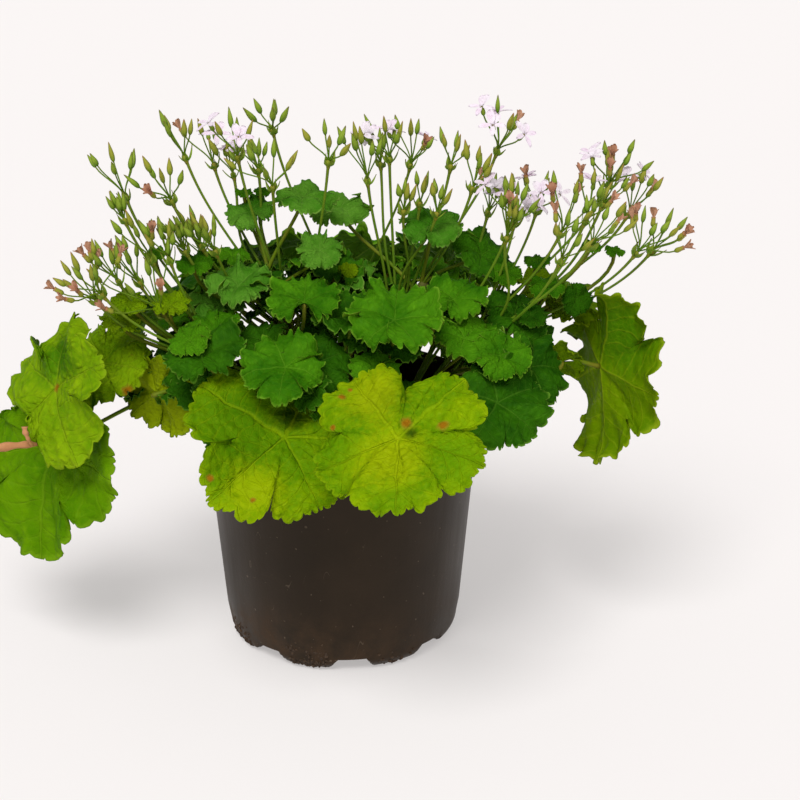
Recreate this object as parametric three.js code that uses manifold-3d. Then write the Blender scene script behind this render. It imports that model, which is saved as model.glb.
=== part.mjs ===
// A scented geranium in bud, growing in a round plastic nursery pot.
//
// Millimetres, +Z up. The origin is on the ground under the middle of the pot, and the plant's best side
// faces -Y. Azimuths are in degrees from the front (-Y) towards the right (+X), elevations from the horizon.

import * as THREE from "three";
import { mergeVertices } from "three/addons/utils/BufferGeometryUtils.js";
import Module from "manifold-3d";

const wasm = await Module();
wasm.setup();

// Pot
const POT_HEIGHT = 147;
const POT_TOP_RADIUS = 81;
const POT_FOOT_RADIUS = 68;
const FOOT_ROUND = 9;
const WALL = 1.4;
const FLOOR = 1.6;
const LIP_OUT = 2.5;
const LIP_HEIGHT = 6;
const LIP_ROUND = 1;
const POT_SIDES = 32;
const CHANNEL_COUNT = 8;
const CHANNEL_TURN = 5.5;
const CHANNEL_WIDTH = 27;
const CHANNEL_TOP_WIDTH = 17;
const CHANNEL_HEIGHT = 8.5;
const CHANNEL_START = 26;
const DRAIN_PLACE = 48;
const DRAIN_RADIUS = 3;
const DRAIN_SIDES = 10;
const POT_COLOUR = 0x2c211d;

// Soil
const SOIL_TOP = 128;
const SOIL_CROWN = 5;
const SOIL_SHOULDER = 0.6;
const SOIL_COLOUR = 0x3b2619;

// Plant
const GAP = 0.35;
const STEM_SIDES = 7;
const STEM_STEPS = 6;
const STALK_RADII = [1.4, 1];
const STALK_SIDES = 4;
const STALK_STEPS = 5;
const STALK_LIFT = 0.5;
const STALK_HANDLE = 0.35;
const UMBEL_RISE = 0.6;
const FIRM_RAYS = 5;
const PETIOLE_SIDES = 4;
const PETIOLE_STEPS = 4;
const PETIOLE_SLANT = 0.3;
const LEAST_BEND = 0.01;
const BLADE_THICK = 1.2;
const INNER_REACH = 0.55;
const LOBES = 5;
const SINUS = 0.3;
const LOBE_DEPTH = 0.2;
const BASAL_SHRINK = 0.14;
const RUFFLE_WAVES = 6;
const GOLDEN_ANGLE = 2.4;
const NODE_RADIUS = 2.2;
const RAY_RADIUS = 0.7;
const RAY_SIDES = 3;
const RAY_MEAN = 0.85;
const RAY_CHANGE = 0.2;
const BUD_LENGTH = 9;
const BUD_WIDEST = 0.6;
const BUD_RADIUS = 2;
const BUD_TIP_RADIUS = 0.3;
const STEM_COLOUR = 0x6f8434;
const STALK_COLOUR = 0x93a548;

const UP = new THREE.Vector3(0, 0, 1);
const STEEP = 0.9;
const SLIVER = 0.02;
const SAME_POINT = 1e-4;

// Geometry to exact solid, and back

function solid(geometry) {
  const bare = geometry.clone();
  bare.deleteAttribute("normal");
  bare.deleteAttribute("uv");
  const merged = mergeVertices(bare, SAME_POINT);
  return new wasm.Manifold(new wasm.Mesh({
    numProp: 3,
    vertProperties: new Float32Array(merged.attributes.position.array),
    triVerts: new Uint32Array(merged.index.array),
  }));
}

function geometryOf(body) {
  const mesh = body.getMesh();
  const geometry = new THREE.BufferGeometry();
  geometry.setAttribute("position", new THREE.BufferAttribute(mesh.vertProperties, 3));
  geometry.setIndex(new THREE.BufferAttribute(mesh.triVerts, 1));
  const flat = geometry.toNonIndexed();
  flat.computeVertexNormals();
  return flat;
}

function indexed(points, faces) {
  const geometry = new THREE.BufferGeometry();
  const numbers = points.flatMap((point) => point.toArray());
  geometry.setAttribute("position", new THREE.Float32BufferAttribute(numbers, 3));
  geometry.setIndex(faces);
  return geometry;
}

function joined(bodies) {
  return bodies.reduce((sum, body) => sum.add(body));
}

function largest(body) {
  return body.decompose().sort((a, b) => b.volume() - a.volume())[0];
}

function overlap(a, b) {
  return a.intersect(b).volume() > 0;
}

// Directions and curves

function aim(azimuth, elevation) {
  const around = THREE.MathUtils.degToRad(azimuth);
  const above = THREE.MathUtils.degToRad(elevation);
  const level = Math.cos(above);
  return new THREE.Vector3(level * Math.sin(around), -level * Math.cos(around), Math.sin(above));
}

// A round rod along a curve. Each ring is the fraction of the curve that it stands at, and its radius.
function rod(curve, rings, sides) {
  const last = rings.length - 1;
  const frames = curve.computeFrenetFrames(last, false);
  const points = [];
  const faces = [];
  rings.forEach(([fraction, radius], ring) => {
    const middle = curve.getPointAt(fraction);
    for (let side = 0; side < sides; side += 1) {
      const angle = (2 * Math.PI * side) / sides;
      points.push(middle.clone()
        .addScaledVector(frames.normals[ring], radius * Math.cos(angle))
        .addScaledVector(frames.binormals[ring], radius * Math.sin(angle)));
    }
  });
  for (let ring = 0; ring < last; ring += 1) {
    for (let side = 0; side < sides; side += 1) {
      const here = ring * sides + side;
      const beside = ring * sides + ((side + 1) % sides);
      faces.push(here, beside, beside + sides, here, beside + sides, here + sides);
    }
  }
  const end = last * sides;
  for (let side = 1; side + 1 < sides; side += 1) {
    faces.push(0, side + 1, side, end, end + side, end + side + 1);
  }
  return solid(indexed(points, faces));
}

function evenRings(steps, [first, last], grow) {
  const fractions = Array.from({ length: steps + 1 }, (_, step) => step / steps);
  return fractions.map((fraction) => [fraction, THREE.MathUtils.lerp(first, last, fraction) + grow]);
}

// A stalk leaves its carrier steeply and arrives at its end along a given direction.
function stalkCurve(start, end, arrival) {
  const length = start.distanceTo(end);
  const departure = end.clone().sub(start).addScaledVector(UP, STALK_LIFT * length).normalize();
  return new THREE.CubicBezierCurve3(
    start,
    start.clone().addScaledVector(departure, STALK_HANDLE * length),
    end.clone().addScaledVector(arrival, -STALK_HANDLE * length),
    end,
  );
}

// Pot and soil

function potRadius(height) {
  return THREE.MathUtils.lerp(POT_FOOT_RADIUS, POT_TOP_RADIUS, height / POT_HEIGHT);
}

function revolved(profile) {
  const turned = new THREE.LatheGeometry(profile.map(([x, z]) => new THREE.Vector2(x, z)), POT_SIDES);
  return solid(turned.rotateX(Math.PI / 2));
}

function footCorner(inset, floor) {
  const corner = [];
  for (const part of [0, 0.5, 1]) {
    const angle = (part * Math.PI) / 2;
    const radius = FOOT_ROUND - inset;
    corner.push([
      POT_FOOT_RADIUS - FOOT_ROUND + radius * Math.sin(angle),
      floor + radius - radius * Math.cos(angle),
    ]);
  }
  return corner;
}

// A drainage channel's trapezoid, run outwards from near the middle past the wall.
function channelBlock(grow) {
  const half = CHANNEL_WIDTH / 2 + grow;
  const topHalf = CHANNEL_TOP_WIDTH / 2 + grow;
  const outline = new THREE.Shape([
    new THREE.Vector2(-half, -1),
    new THREE.Vector2(half, -1),
    new THREE.Vector2(topHalf, CHANNEL_HEIGHT + grow),
    new THREE.Vector2(-topHalf, CHANNEL_HEIGHT + grow),
  ]);
  const start = CHANNEL_START - grow;
  const block = new THREE.ExtrudeGeometry(outline, {
    depth: POT_TOP_RADIUS - start,
    bevelEnabled: false,
  });
  return block.translate(0, 0, start).rotateX(Math.PI / 2);
}

function channels(grow) {
  const blocks = [];
  for (let channel = 0; channel < CHANNEL_COUNT; channel += 1) {
    const turn = (2 * Math.PI * channel) / CHANNEL_COUNT + THREE.MathUtils.degToRad(CHANNEL_TURN);
    blocks.push(solid(channelBlock(grow).rotateZ(turn)));
  }
  return joined(blocks);
}

function drainHoles() {
  const holes = [];
  for (let channel = 0; channel < CHANNEL_COUNT; channel += 1) {
    const turn = (2 * Math.PI * channel) / CHANNEL_COUNT + THREE.MathUtils.degToRad(CHANNEL_TURN);
    const hole = new THREE.CylinderGeometry(DRAIN_RADIUS, DRAIN_RADIUS, 4 * CHANNEL_HEIGHT, DRAIN_SIDES);
    hole.rotateX(Math.PI / 2).translate(0, -DRAIN_PLACE, 0).rotateZ(turn);
    holes.push(solid(hole));
  }
  return joined(holes);
}

function potInside(grow) {
  const top = POT_HEIGHT + 1;
  return revolved([
    [0, FLOOR - grow],
    ...footCorner(WALL - grow, FLOOR - grow),
    [potRadius(top) - WALL + grow, top],
    [0, top],
  ]);
}

function potOutside(grow) {
  const lipFoot = POT_HEIGHT - LIP_HEIGHT - grow;
  const lip = POT_TOP_RADIUS + LIP_OUT + grow;
  return revolved([
    [0, -grow],
    ...footCorner(-grow, -grow),
    [potRadius(lipFoot) + grow, lipFoot],
    [lip, lipFoot],
    [lip, POT_HEIGHT + grow - LIP_ROUND],
    [lip - LIP_ROUND, POT_HEIGHT + grow],
    [0, POT_HEIGHT + grow],
  ]);
}

function pot() {
  const shell = potOutside(0).subtract(potInside(0));
  const ridges = channels(WALL).intersect(potOutside(0));
  return shell.add(ridges).subtract(channels(0)).subtract(drainHoles());
}

// The root ball rests on the ridges over the drainage channels.
function soil(sockets) {
  const wide = POT_TOP_RADIUS + LIP_OUT;
  const rest = CHANNEL_HEIGHT + WALL + GAP;
  const mound = revolved([
    [0, rest],
    [wide, rest],
    [wide, SOIL_TOP],
    [POT_TOP_RADIUS / 2, SOIL_TOP + SOIL_SHOULDER * SOIL_CROWN],
    [0, SOIL_TOP + SOIL_CROWN],
  ]);
  return mound.intersect(potInside(-GAP)).subtract(sockets);
}

// Stems
//
// Each is a Bezier curve from its socket in the soil, given by its four control points.

const STEM_RADII = [4.2, 2.6];
const STEMS = {
  left: [[-22, -6, 112], [-30, -8, 140], [-58, -14, 158], [-88, -18, 172]],
  right: [[22, -4, 112], [30, -6, 140], [60, -8, 160], [92, -4, 176]],
  front: [[0, -22, 112], [-4, -32, 140], [-6, -52, 158], [-8, -68, 170]],
  back: [[4, 24, 112], [6, 34, 142], [4, 58, 172], [0, 84, 190]],
  tall_left: [[-12, 10, 112], [-18, 12, 150], [-30, 10, 188], [-42, 6, 216]],
  tall_right: [[12, 8, 112], [18, 10, 150], [34, 10, 186], [48, 6, 212]],
};

function stemCurve(name) {
  return new THREE.CubicBezierCurve3(...STEMS[name].map((place) => new THREE.Vector3(...place)));
}

function stem(name, grow) {
  return rod(stemCurve(name), evenRings(STEM_STEPS, STEM_RADII, grow), STEM_SIDES);
}

// Leaves
//
// A blade is a disc around the point where the petiole meets it, cut by a narrow sinus and shaped into lobes.
// It has its own flat frame: tip along the middle lobe, side across it, and face up through the upper side.

const LOOKS = {
  lime: { colour: 0x86b40f, petiole: 1.7 },
  mid: { colour: 0x4f9420, petiole: 1.5 },
  dark: { colour: 0x2f7a1c, petiole: 1.3 },
  olive: { colour: 0x6a8c1e, petiole: 1.6 },
};

// Each row: name, stem and place along it, where the petiole meets the blade, [azimuth and elevation that the
// upper side faces, turn of the tip from straight downhill], [radius, droop, side arch, ruffle, and the
// sinus where it is wide], look.
const LEAVES = [
  ["front_left", "front", 0.92, [-28, -92, 158], [16, 56, -10], [57, 0.3, -0.3, 0.05], "lime"],
  ["front_right", "front", 1.0, [33, -130, 173], [-18, 54, 5], [47, -0.13, 0.28, 0.07], "lime"],
  ["far_left_low", "left", 0.7, [-165, -24, 124], [-44, 19, 25], [61, 0.1, -0.16, 0.06], "mid"],
  ["far_left_high", "left", 0.93, [-157, -44, 167], [-50, 24, 48], [43, 0.45, -0.09, 0.05], "mid"],
  ["left_high", "left", 0.86, [-134, -18, 172], [-20, 58, 10], [30, 0.3, 0.1, 0.1], "mid"],
  ["left_under", "left", 0.72, [-103, -30, 158], [150, 14, -26], [28, 0.3, 0.2, 0.08], "olive"],
  ["left_mid", "left", 0.62, [-90, -20, 178], [-60, 45, 25], [21, 0.3, 0.1, 0.1], "dark"],
  ["front_left_mid", "left", 0.5, [-71, -64, 194], [-30, 66, -150], [23, 0.4, 0.2, 0.12], "dark"],
  ["front_mid_left", "front", 0.8, [-27, -80, 193], [-12, 60, -72], [24, 0.35, 0.3, 0.15], "mid"],
  ["front_mid", "front", 0.68, [-12, -64, 189], [25, 54, 20], [21, 0.3, 0.1, 0.14], "dark"],
  ["front_high_right", "tall_right", 0.5, [31, -62, 213], [-2, 66, 172], [28, 0.25, 0.2, 0.15], "mid"],
  ["front_high_left", "tall_left", 0.55, [-18, -50, 219], [2, 72, 178], [21, 0.2, 0.25, 0.15, 0.5], "mid"],
  ["high_mid", "tall_right", 0.7, [10, -40, 209], [25, 62, 120], [16, 0.4, 0.2, 0.14], "mid"],
  ["right_low", "right", 0.62, [87, -66, 167], [14, 50, 32], [30, 0.35, 0.2, 0.1], "dark"],
  ["right_edge", "right", 0.76, [106, -40, 178], [45, 40, -10], [23, 0.4, 0.2, 0.1], "dark"],
  ["right_front", "right", 0.42, [89, -50, 188], [20, 58, -30], [18, 0.3, 0.1, 0.13], "mid"],
  ["right_high", "tall_right", 0.8, [64, -28, 213], [10, 68, 150], [19, 0.4, 0.2, 0.13], "mid"],
  ["right_far_high", "right", 0.9, [99, -12, 197], [40, 60, 60], [20, 0.4, 0.2, 0.12], "dark"],
  ["right_back", "right", 0.95, [125, 28, 195], [70, 68, 30], [28, 0.4, 0.2, 0.1], "olive"],
  ["far_right", "right", 1.0, [149, 0, 163], [116, -2, -17], [54, 0.4, -0.25, 0.1], "olive"],
  ["far_right_fold", "right", 0.96, [126, -14, 171], [156, 37, 100], [16, 0.4, 0.3, 0.08, 0.6], "olive"],
  ["high_left", "tall_left", 0.78, [-56, -20, 218], [-20, 72, 160], [20, 0.2, 0.25, 0.15], "mid"],
  ["top_left", "tall_left", 0.93, [-51, 20, 249], [-30, 66, -120], [15, 0.7, 0.5, 0.12], "mid"],
  ["top_mid_left", "tall_left", 1.0, [-20, 2, 263], [12, 80, 60], [17, 0.8, 0.4, 0.1], "mid"],
  ["top_back", "tall_right", 0.9, [0, 32, 248], [10, 80, -60], [18, 0.8, 0.5, 0.1], "mid"],
  ["top_front", "tall_left", 0.86, [-10, -26, 241], [0, 55, -30], [13, 0.4, 0.2, 0.14], "mid"],
  ["top_right", "tall_right", 0.95, [52, -3, 248], [6, 70, 160], [18, 0.7, 0.4, 0.12], "mid"],
  ["top_far_right", "tall_right", 1.0, [80, 12, 226], [45, 52, 20], [19, 0.5, 0.3, 0.12], "dark"],
  ["back_left", "back", 0.6, [-52, 78, 200], [-150, 50, 10], [40, 0.4, 0.2, 0.1], "mid"],
  ["back_mid", "back", 1.0, [4, 118, 188], [180, 40, 10], [44, 0.5, 0.3, 0.09], "mid"],
  ["back_right", "back", 0.82, [62, 84, 198], [150, 50, 10], [38, 0.4, 0.2, 0.1], "dark"],
  ["back_far_left", "left", 0.79, [-104, 52, 184], [-120, 45, 10], [42, 0.5, 0.3, 0.09], "dark"],
];

// The outline's radius over the blade's: rounded lobes with sharp notches, smaller beside the sinus.
function outline(angle, sinus) {
  const span = (2 * Math.PI - sinus) / LOBES;
  const lobe = (angle + Math.PI - sinus / 2) / span;
  const fromVein = Math.abs(lobe - Math.floor(Math.min(lobe, LOBES - 1e-6)) - 0.5);
  const notch = LOBE_DEPTH * (2 * fromVein) ** 3;
  return (1 - notch) * (1 - BASAL_SHRINK * (angle / Math.PI) ** 2);
}

// Rolls a point down over a cylinder, so that a full radius turns through the given angle.
function rolled(along, height, radius, bend) {
  const turn = Math.abs(bend) < LEAST_BEND ? LEAST_BEND : bend;
  const reach = radius / turn;
  const arc = along / reach;
  return [(reach + height) * Math.sin(arc), (reach + height) * Math.cos(arc) - reach];
}

function bladeFrame(faces) {
  const face = aim(faces[0], faces[1]);
  const tip = UP.clone().negate().addScaledVector(face, face.z).normalize();
  tip.applyAxisAngle(face, THREE.MathUtils.degToRad(faces[2]));
  return { face, tip, side: tip.clone().cross(face) };
}

function bladePoint(leaf, angle, reach, lift, grow, widen) {
  const [radius, droop, arch, ruffle, sinus = SINUS] = leaf.shape;
  const spread = (radius + grow) * reach * (1 + (outline(angle, sinus) - 1) * reach ** 2);
  const wave = ruffle * radius * reach ** 3 * Math.sin(RUFFLE_WAVES * angle + leaf.phase);
  const [ahead, fall] = rolled(spread * Math.cos(angle + widen), wave + lift, radius, droop);
  const [across, height] = rolled(spread * Math.sin(angle + widen), fall, radius, arch);
  return leaf.meets.clone()
    .addScaledVector(leaf.frame.side, across)
    .addScaledVector(leaf.frame.tip, ahead)
    .addScaledVector(leaf.frame.face, height);
}

// The blade's two skins each have a centre point, an inner ring with one segment for each lobe and an edge
// ring with three, and are walled at the edge and along both sides of the sinus.
function blade(leaf, grow) {
  const half = Math.PI - (leaf.shape[4] ?? SINUS) / 2;
  const wide = (2 * grow) / leaf.shape[0];
  const inner = LOBES;
  const outer = 3 * LOBES;
  const points = [];
  for (const lift of [BLADE_THICK / 2 + grow, -BLADE_THICK / 2 - grow]) {
    points.push(bladePoint(leaf, 0, 0, lift, grow, 0));
    for (const [segments, reach] of [[inner, INNER_REACH], [outer, 1]]) {
      for (let step = 0; step <= segments; step += 1) {
        const angle = -half + (2 * half * step) / segments;
        const widen = step % segments ? 0 : wide * Math.sign(angle);
        points.push(bladePoint(leaf, angle, reach, lift, grow, widen));
      }
    }
  }
  const edge = inner + 2;
  const under = edge + outer + 1;
  const faces = [];
  const bothSkins = (a, b, c) => faces.push(a, b, c, under + a, under + c, under + b);
  const wall = (a, b) => faces.push(a, b, under + b, a, under + b, under + a);
  for (let step = 0; step < inner; step += 1) {
    const near = 1 + step;
    const far = edge + 3 * step;
    bothSkins(0, near + 1, near);
    bothSkins(near, far + 1, far);
    bothSkins(near, far + 2, far + 1);
    bothSkins(near, near + 1, far + 2);
    bothSkins(near + 1, far + 3, far + 2);
  }
  for (let step = 0; step < outer; step += 1) {
    wall(edge + step, edge + step + 1);
  }
  wall(1, edge);
  wall(0, 1);
  wall(edge - 1, 0);
  wall(edge + outer, edge - 1);
  return solid(indexed(points, faces));
}

function petiole(leaf, grow) {
  const start = stemCurve(leaf.stem).getPoint(leaf.at);
  const arrival = leaf.frame.face.clone().addScaledVector(leaf.frame.tip, PETIOLE_SLANT).normalize();
  const radius = LOOKS[leaf.look].petiole;
  const rings = evenRings(PETIOLE_STEPS, [radius, radius], grow);
  return rod(stalkCurve(start, leaf.meets, arrival), rings, PETIOLE_SIDES);
}

const leaves = LEAVES.map(([name, stemName, at, place, faces, shape, look], index) => ({
  name: `leaf_${name}`,
  stem: stemName,
  at,
  meets: new THREE.Vector3(...place),
  frame: bladeFrame(faces),
  shape,
  look,
  phase: GOLDEN_ANGLE * index,
}));

// Flower stalks
//
// Each row: name, stem and place along it, the node that the umbel spreads from, rays, ray length, spread.
const STALKS = [
  ["left_1", "left", 0.58, [-120, 10, 260], 6, 26, 45],
  ["left_2", "tall_left", 0.4, [-92, -10, 264], 7, 20, 55],
  ["left_3", "tall_left", 0.51, [-87, 22, 280], 5, 20, 35],
  ["left_4", "tall_left", 0.61, [-73, 42, 270], 5, 22, 40],
  ["left_5", "tall_left", 0.64, [-56, 4, 285], 6, 20, 45],
  ["left_6", "back", 0.5, [-38, 32, 293], 6, 12, 50],
  ["left_7", "tall_left", 0.74, [-36, -14, 273], 7, 22, 60],
  ["middle_1", "tall_left", 0.46, [-5, -20, 289], 5, 16, 50],
  ["middle_2", "tall_right", 0.57, [16, 6, 271], 6, 24, 30],
  ["middle_3", "tall_right", 0.63, [28, 26, 278], 6, 18, 50],
  ["right_1", "tall_right", 0.67, [62, 0, 281], 5, 14, 40],
  ["right_2", "tall_right", 0.75, [88, 10, 287], 8, 22, 50],
  ["right_3", "right", 0.35, [95, -20, 254], 7, 20, 55],
  ["right_4", "right", 0.49, [123, -10, 245], 7, 26, 45],
  ["right_5", "right", 0.55, [152, 22, 264], 8, 22, 60],
  ["right_6", "right", 0.68, [138, -26, 243], 7, 26, 50],
  ["right_7", "right", 0.79, [167, 2, 230], 7, 24, 55],
  ["far_left", "front", 0.5, [-128, -44, 221], 7, 24, 65],
  ["near_left", "left", 0.44, [-96, -34, 206], 8, 40, 50],
  ["back_1", "back", 0.7, [40, 70, 262], 7, 22, 50],
];

function stalkRay(stalk, index) {
  const level = Math.abs(stalk.axis.z) > STEEP ? new THREE.Vector3(0, 1, 0) : UP;
  const across = stalk.axis.clone().cross(level).normalize();
  const tilt = THREE.MathUtils.degToRad(stalk.spread) * Math.sqrt((index + 0.5) / stalk.rays);
  const way = stalk.axis.clone().applyAxisAngle(across, tilt);
  way.applyAxisAngle(stalk.axis, GOLDEN_ANGLE * index + stalk.phase);
  const length = stalk.ray * (RAY_MEAN + RAY_CHANGE * Math.sin(GOLDEN_ANGLE * index + stalk.phase));
  const end = stalk.node.clone().addScaledVector(way, length);
  return { way, end };
}

// A pedicel and the pointed bud that it carries, in one straight run from the umbel's node.
function pedicel(stalk, index, grow) {
  const { way, end } = stalkRay(stalk, index);
  const tip = end.clone().addScaledVector(way, BUD_LENGTH);
  const full = stalk.node.distanceTo(tip);
  const rings = [
    [0, RAY_RADIUS],
    [1 - BUD_LENGTH / full, RAY_RADIUS],
    [1 - (BUD_WIDEST * BUD_LENGTH) / full, BUD_RADIUS],
    [1, BUD_TIP_RADIUS],
  ];
  const grown = rings.map(([at, radius]) => [at, radius + grow]);
  return rod(new THREE.LineCurve3(stalk.node, tip), grown, RAY_SIDES);
}

function umbel(stalk, grow) {
  const start = stemCurve(stalk.stem).getPoint(stalk.at);
  const node = new THREE.OctahedronGeometry(NODE_RADIUS + grow);
  const rings = evenRings(STALK_STEPS, STALK_RADII, grow);
  const bodies = [
    rod(stalkCurve(start, stalk.node, stalk.axis), rings, STALK_SIDES),
    solid(node.translate(...stalk.node.toArray())),
  ];
  for (let index = stalk.rays - FIRM_RAYS; index < stalk.rays; index += 1) {
    bodies.push(pedicel(stalk, index, grow));
  }
  return joined(bodies);
}

const stalks = STALKS.map(([name, stemName, at, place, rays, ray, spread], index) => {
  const node = new THREE.Vector3(...place);
  const start = stemCurve(stemName).getPoint(at);
  const axis = node.clone().sub(start).normalize().addScaledVector(UP, UMBEL_RISE).normalize();
  return { name: `flower_stalk_${name}`, stem: stemName, at, node, axis, rays, ray, spread, phase: index };
});

// Assembly
//
// Stems come first, then flower stalks, petioles and blades. Each is trimmed back from those before it.

const group = new THREE.Group();
group.name = "potted_scented_geranium";

function place(name, body, origin, colour, roughness) {
  const geometry = geometryOf(body).translate(-origin.x, -origin.y, -origin.z);
  const material = new THREE.MeshStandardMaterial({ color: colour, roughness, metalness: 0 });
  const mesh = new THREE.Mesh(geometry, material);
  mesh.name = name;
  mesh.position.copy(origin);
  group.add(mesh);
}

function trimmed(body, keepClear) {
  const cutters = keepClear.filter((other) => overlap(body, other));
  return cutters.length ? largest(body.subtract(joined(cutters))) : body;
}

const stemNames = Object.keys(STEMS);
const stemRoom = stemNames.map((name) => stem(name, GAP));
const potRoom = potOutside(GAP).subtract(potInside(-GAP));

const stalkRoom = [];
for (const stalk of stalks) {
  stalk.body = trimmed(umbel(stalk, 0), [...stemRoom, ...stalkRoom]);
  stalkRoom.push(umbel(stalk, GAP));
}

const petioleRoom = [];
for (const leaf of leaves) {
  leaf.petiole = trimmed(petiole(leaf, 0), [...stemRoom, ...stalkRoom, ...petioleRoom]);
  petioleRoom.push(petiole(leaf, GAP));
}

const bladeRoom = [];
leaves.forEach((leaf, index) => {
  const others = petioleRoom.filter((_, other) => other !== index);
  const room = [...stemRoom, ...stalkRoom, ...others, ...bladeRoom, potRoom];
  leaf.body = largest(trimmed(blade(leaf, 0), room).add(leaf.petiole));
  bladeRoom.push(blade(leaf, GAP));
});

place("pot", pot(), new THREE.Vector3(), POT_COLOUR, 0.55);
place("soil", soil(joined(stemRoom)), new THREE.Vector3(), SOIL_COLOUR, 0.95);
for (const name of stemNames) {
  place(`stem_${name}`, stem(name, 0), new THREE.Vector3(...STEMS[name][0]), STEM_COLOUR, 0.6);
}
for (const stalk of stalks) {
  place(stalk.name, stalk.body.simplify(SLIVER), stalk.node, STALK_COLOUR, 0.6);
}
for (const leaf of leaves) {
  place(leaf.name, leaf.body.simplify(SLIVER), leaf.meets, LOOKS[leaf.look].colour, 0.55);
}

export default group;
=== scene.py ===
"""A scented geranium in bud in its nursery pot, drawn round the CAD frame.

Lengths are in millimetres and angles in degrees until a mesh is written, which turns them into metres.
Azimuths run from the front (-Y) towards the right (+X), as in the part's source.
"""

import bpy
import numpy as np
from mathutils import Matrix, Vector


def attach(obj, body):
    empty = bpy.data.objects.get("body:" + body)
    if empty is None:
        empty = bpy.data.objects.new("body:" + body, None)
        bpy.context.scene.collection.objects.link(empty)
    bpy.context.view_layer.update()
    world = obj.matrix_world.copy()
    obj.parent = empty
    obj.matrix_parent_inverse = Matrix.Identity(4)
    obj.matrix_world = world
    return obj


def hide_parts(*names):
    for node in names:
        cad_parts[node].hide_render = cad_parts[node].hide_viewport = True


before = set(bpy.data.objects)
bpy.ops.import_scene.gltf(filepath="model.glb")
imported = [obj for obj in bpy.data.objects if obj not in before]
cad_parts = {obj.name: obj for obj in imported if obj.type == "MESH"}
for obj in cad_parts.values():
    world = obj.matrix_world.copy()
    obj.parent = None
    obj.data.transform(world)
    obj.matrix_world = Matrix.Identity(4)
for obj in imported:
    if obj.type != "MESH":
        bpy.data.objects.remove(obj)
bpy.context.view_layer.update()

MM = 0.001
UP = np.array([0.0, 0.0, 1.0])
# The golden angle in radians, which spreads leaves and flowers evenly
GOLDEN = 2.4
# Where the random draws of each kind of piece start
LEAF_SEED = 100
UMBEL_SEED = 500
MOUND_SEED = 7
CRUST_SEED = 31

# Pot
POT_HEIGHT = 147.0
POT_TOP = 81.0
POT_FOOT = 68.0
FOOT_ROUND = 9.0
WALL = 1.4
POT_SIDES = 288
FLOOR = 1.6
LIP_OUT = 2.5
LIP_HEIGHT = 6.0
CHANNELS = 8
CHANNEL_TURN = 5.5
CHANNEL_WIDE = 27.0
CHANNEL_TOP = 17.0
CHANNEL_HIGH = 8.5
CHANNEL_START = 26.0
CRUMBS = 620
CRUST_TURN = -32.0
CRUST_SPREAD = 34.0
CRUMB_SIZES = (0.35, 1.25)
SOIL_TOP = 128.0
SOIL_CROWN = 5.0
SOIL_GAP = 0.4

# Plant
STEM_RADII = (4.2, 2.6)
STEMS = {
    "left": [[-22, -6, 112], [-30, -8, 140], [-58, -14, 158], [-88, -18, 172]],
    "right": [[22, -4, 112], [30, -6, 140], [60, -8, 160], [92, -4, 176]],
    "front": [[0, -22, 112], [-4, -32, 140], [-6, -52, 158], [-8, -68, 170]],
    "back": [[4, 24, 112], [6, 34, 142], [4, 58, 172], [0, 84, 190]],
    "tall_left": [[-12, 10, 112], [-18, 12, 150], [-30, 10, 188], [-42, 6, 216]],
    "tall_right": [[12, 8, 112], [18, 10, 150], [34, 10, 186], [48, 6, 212]],
}

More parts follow.
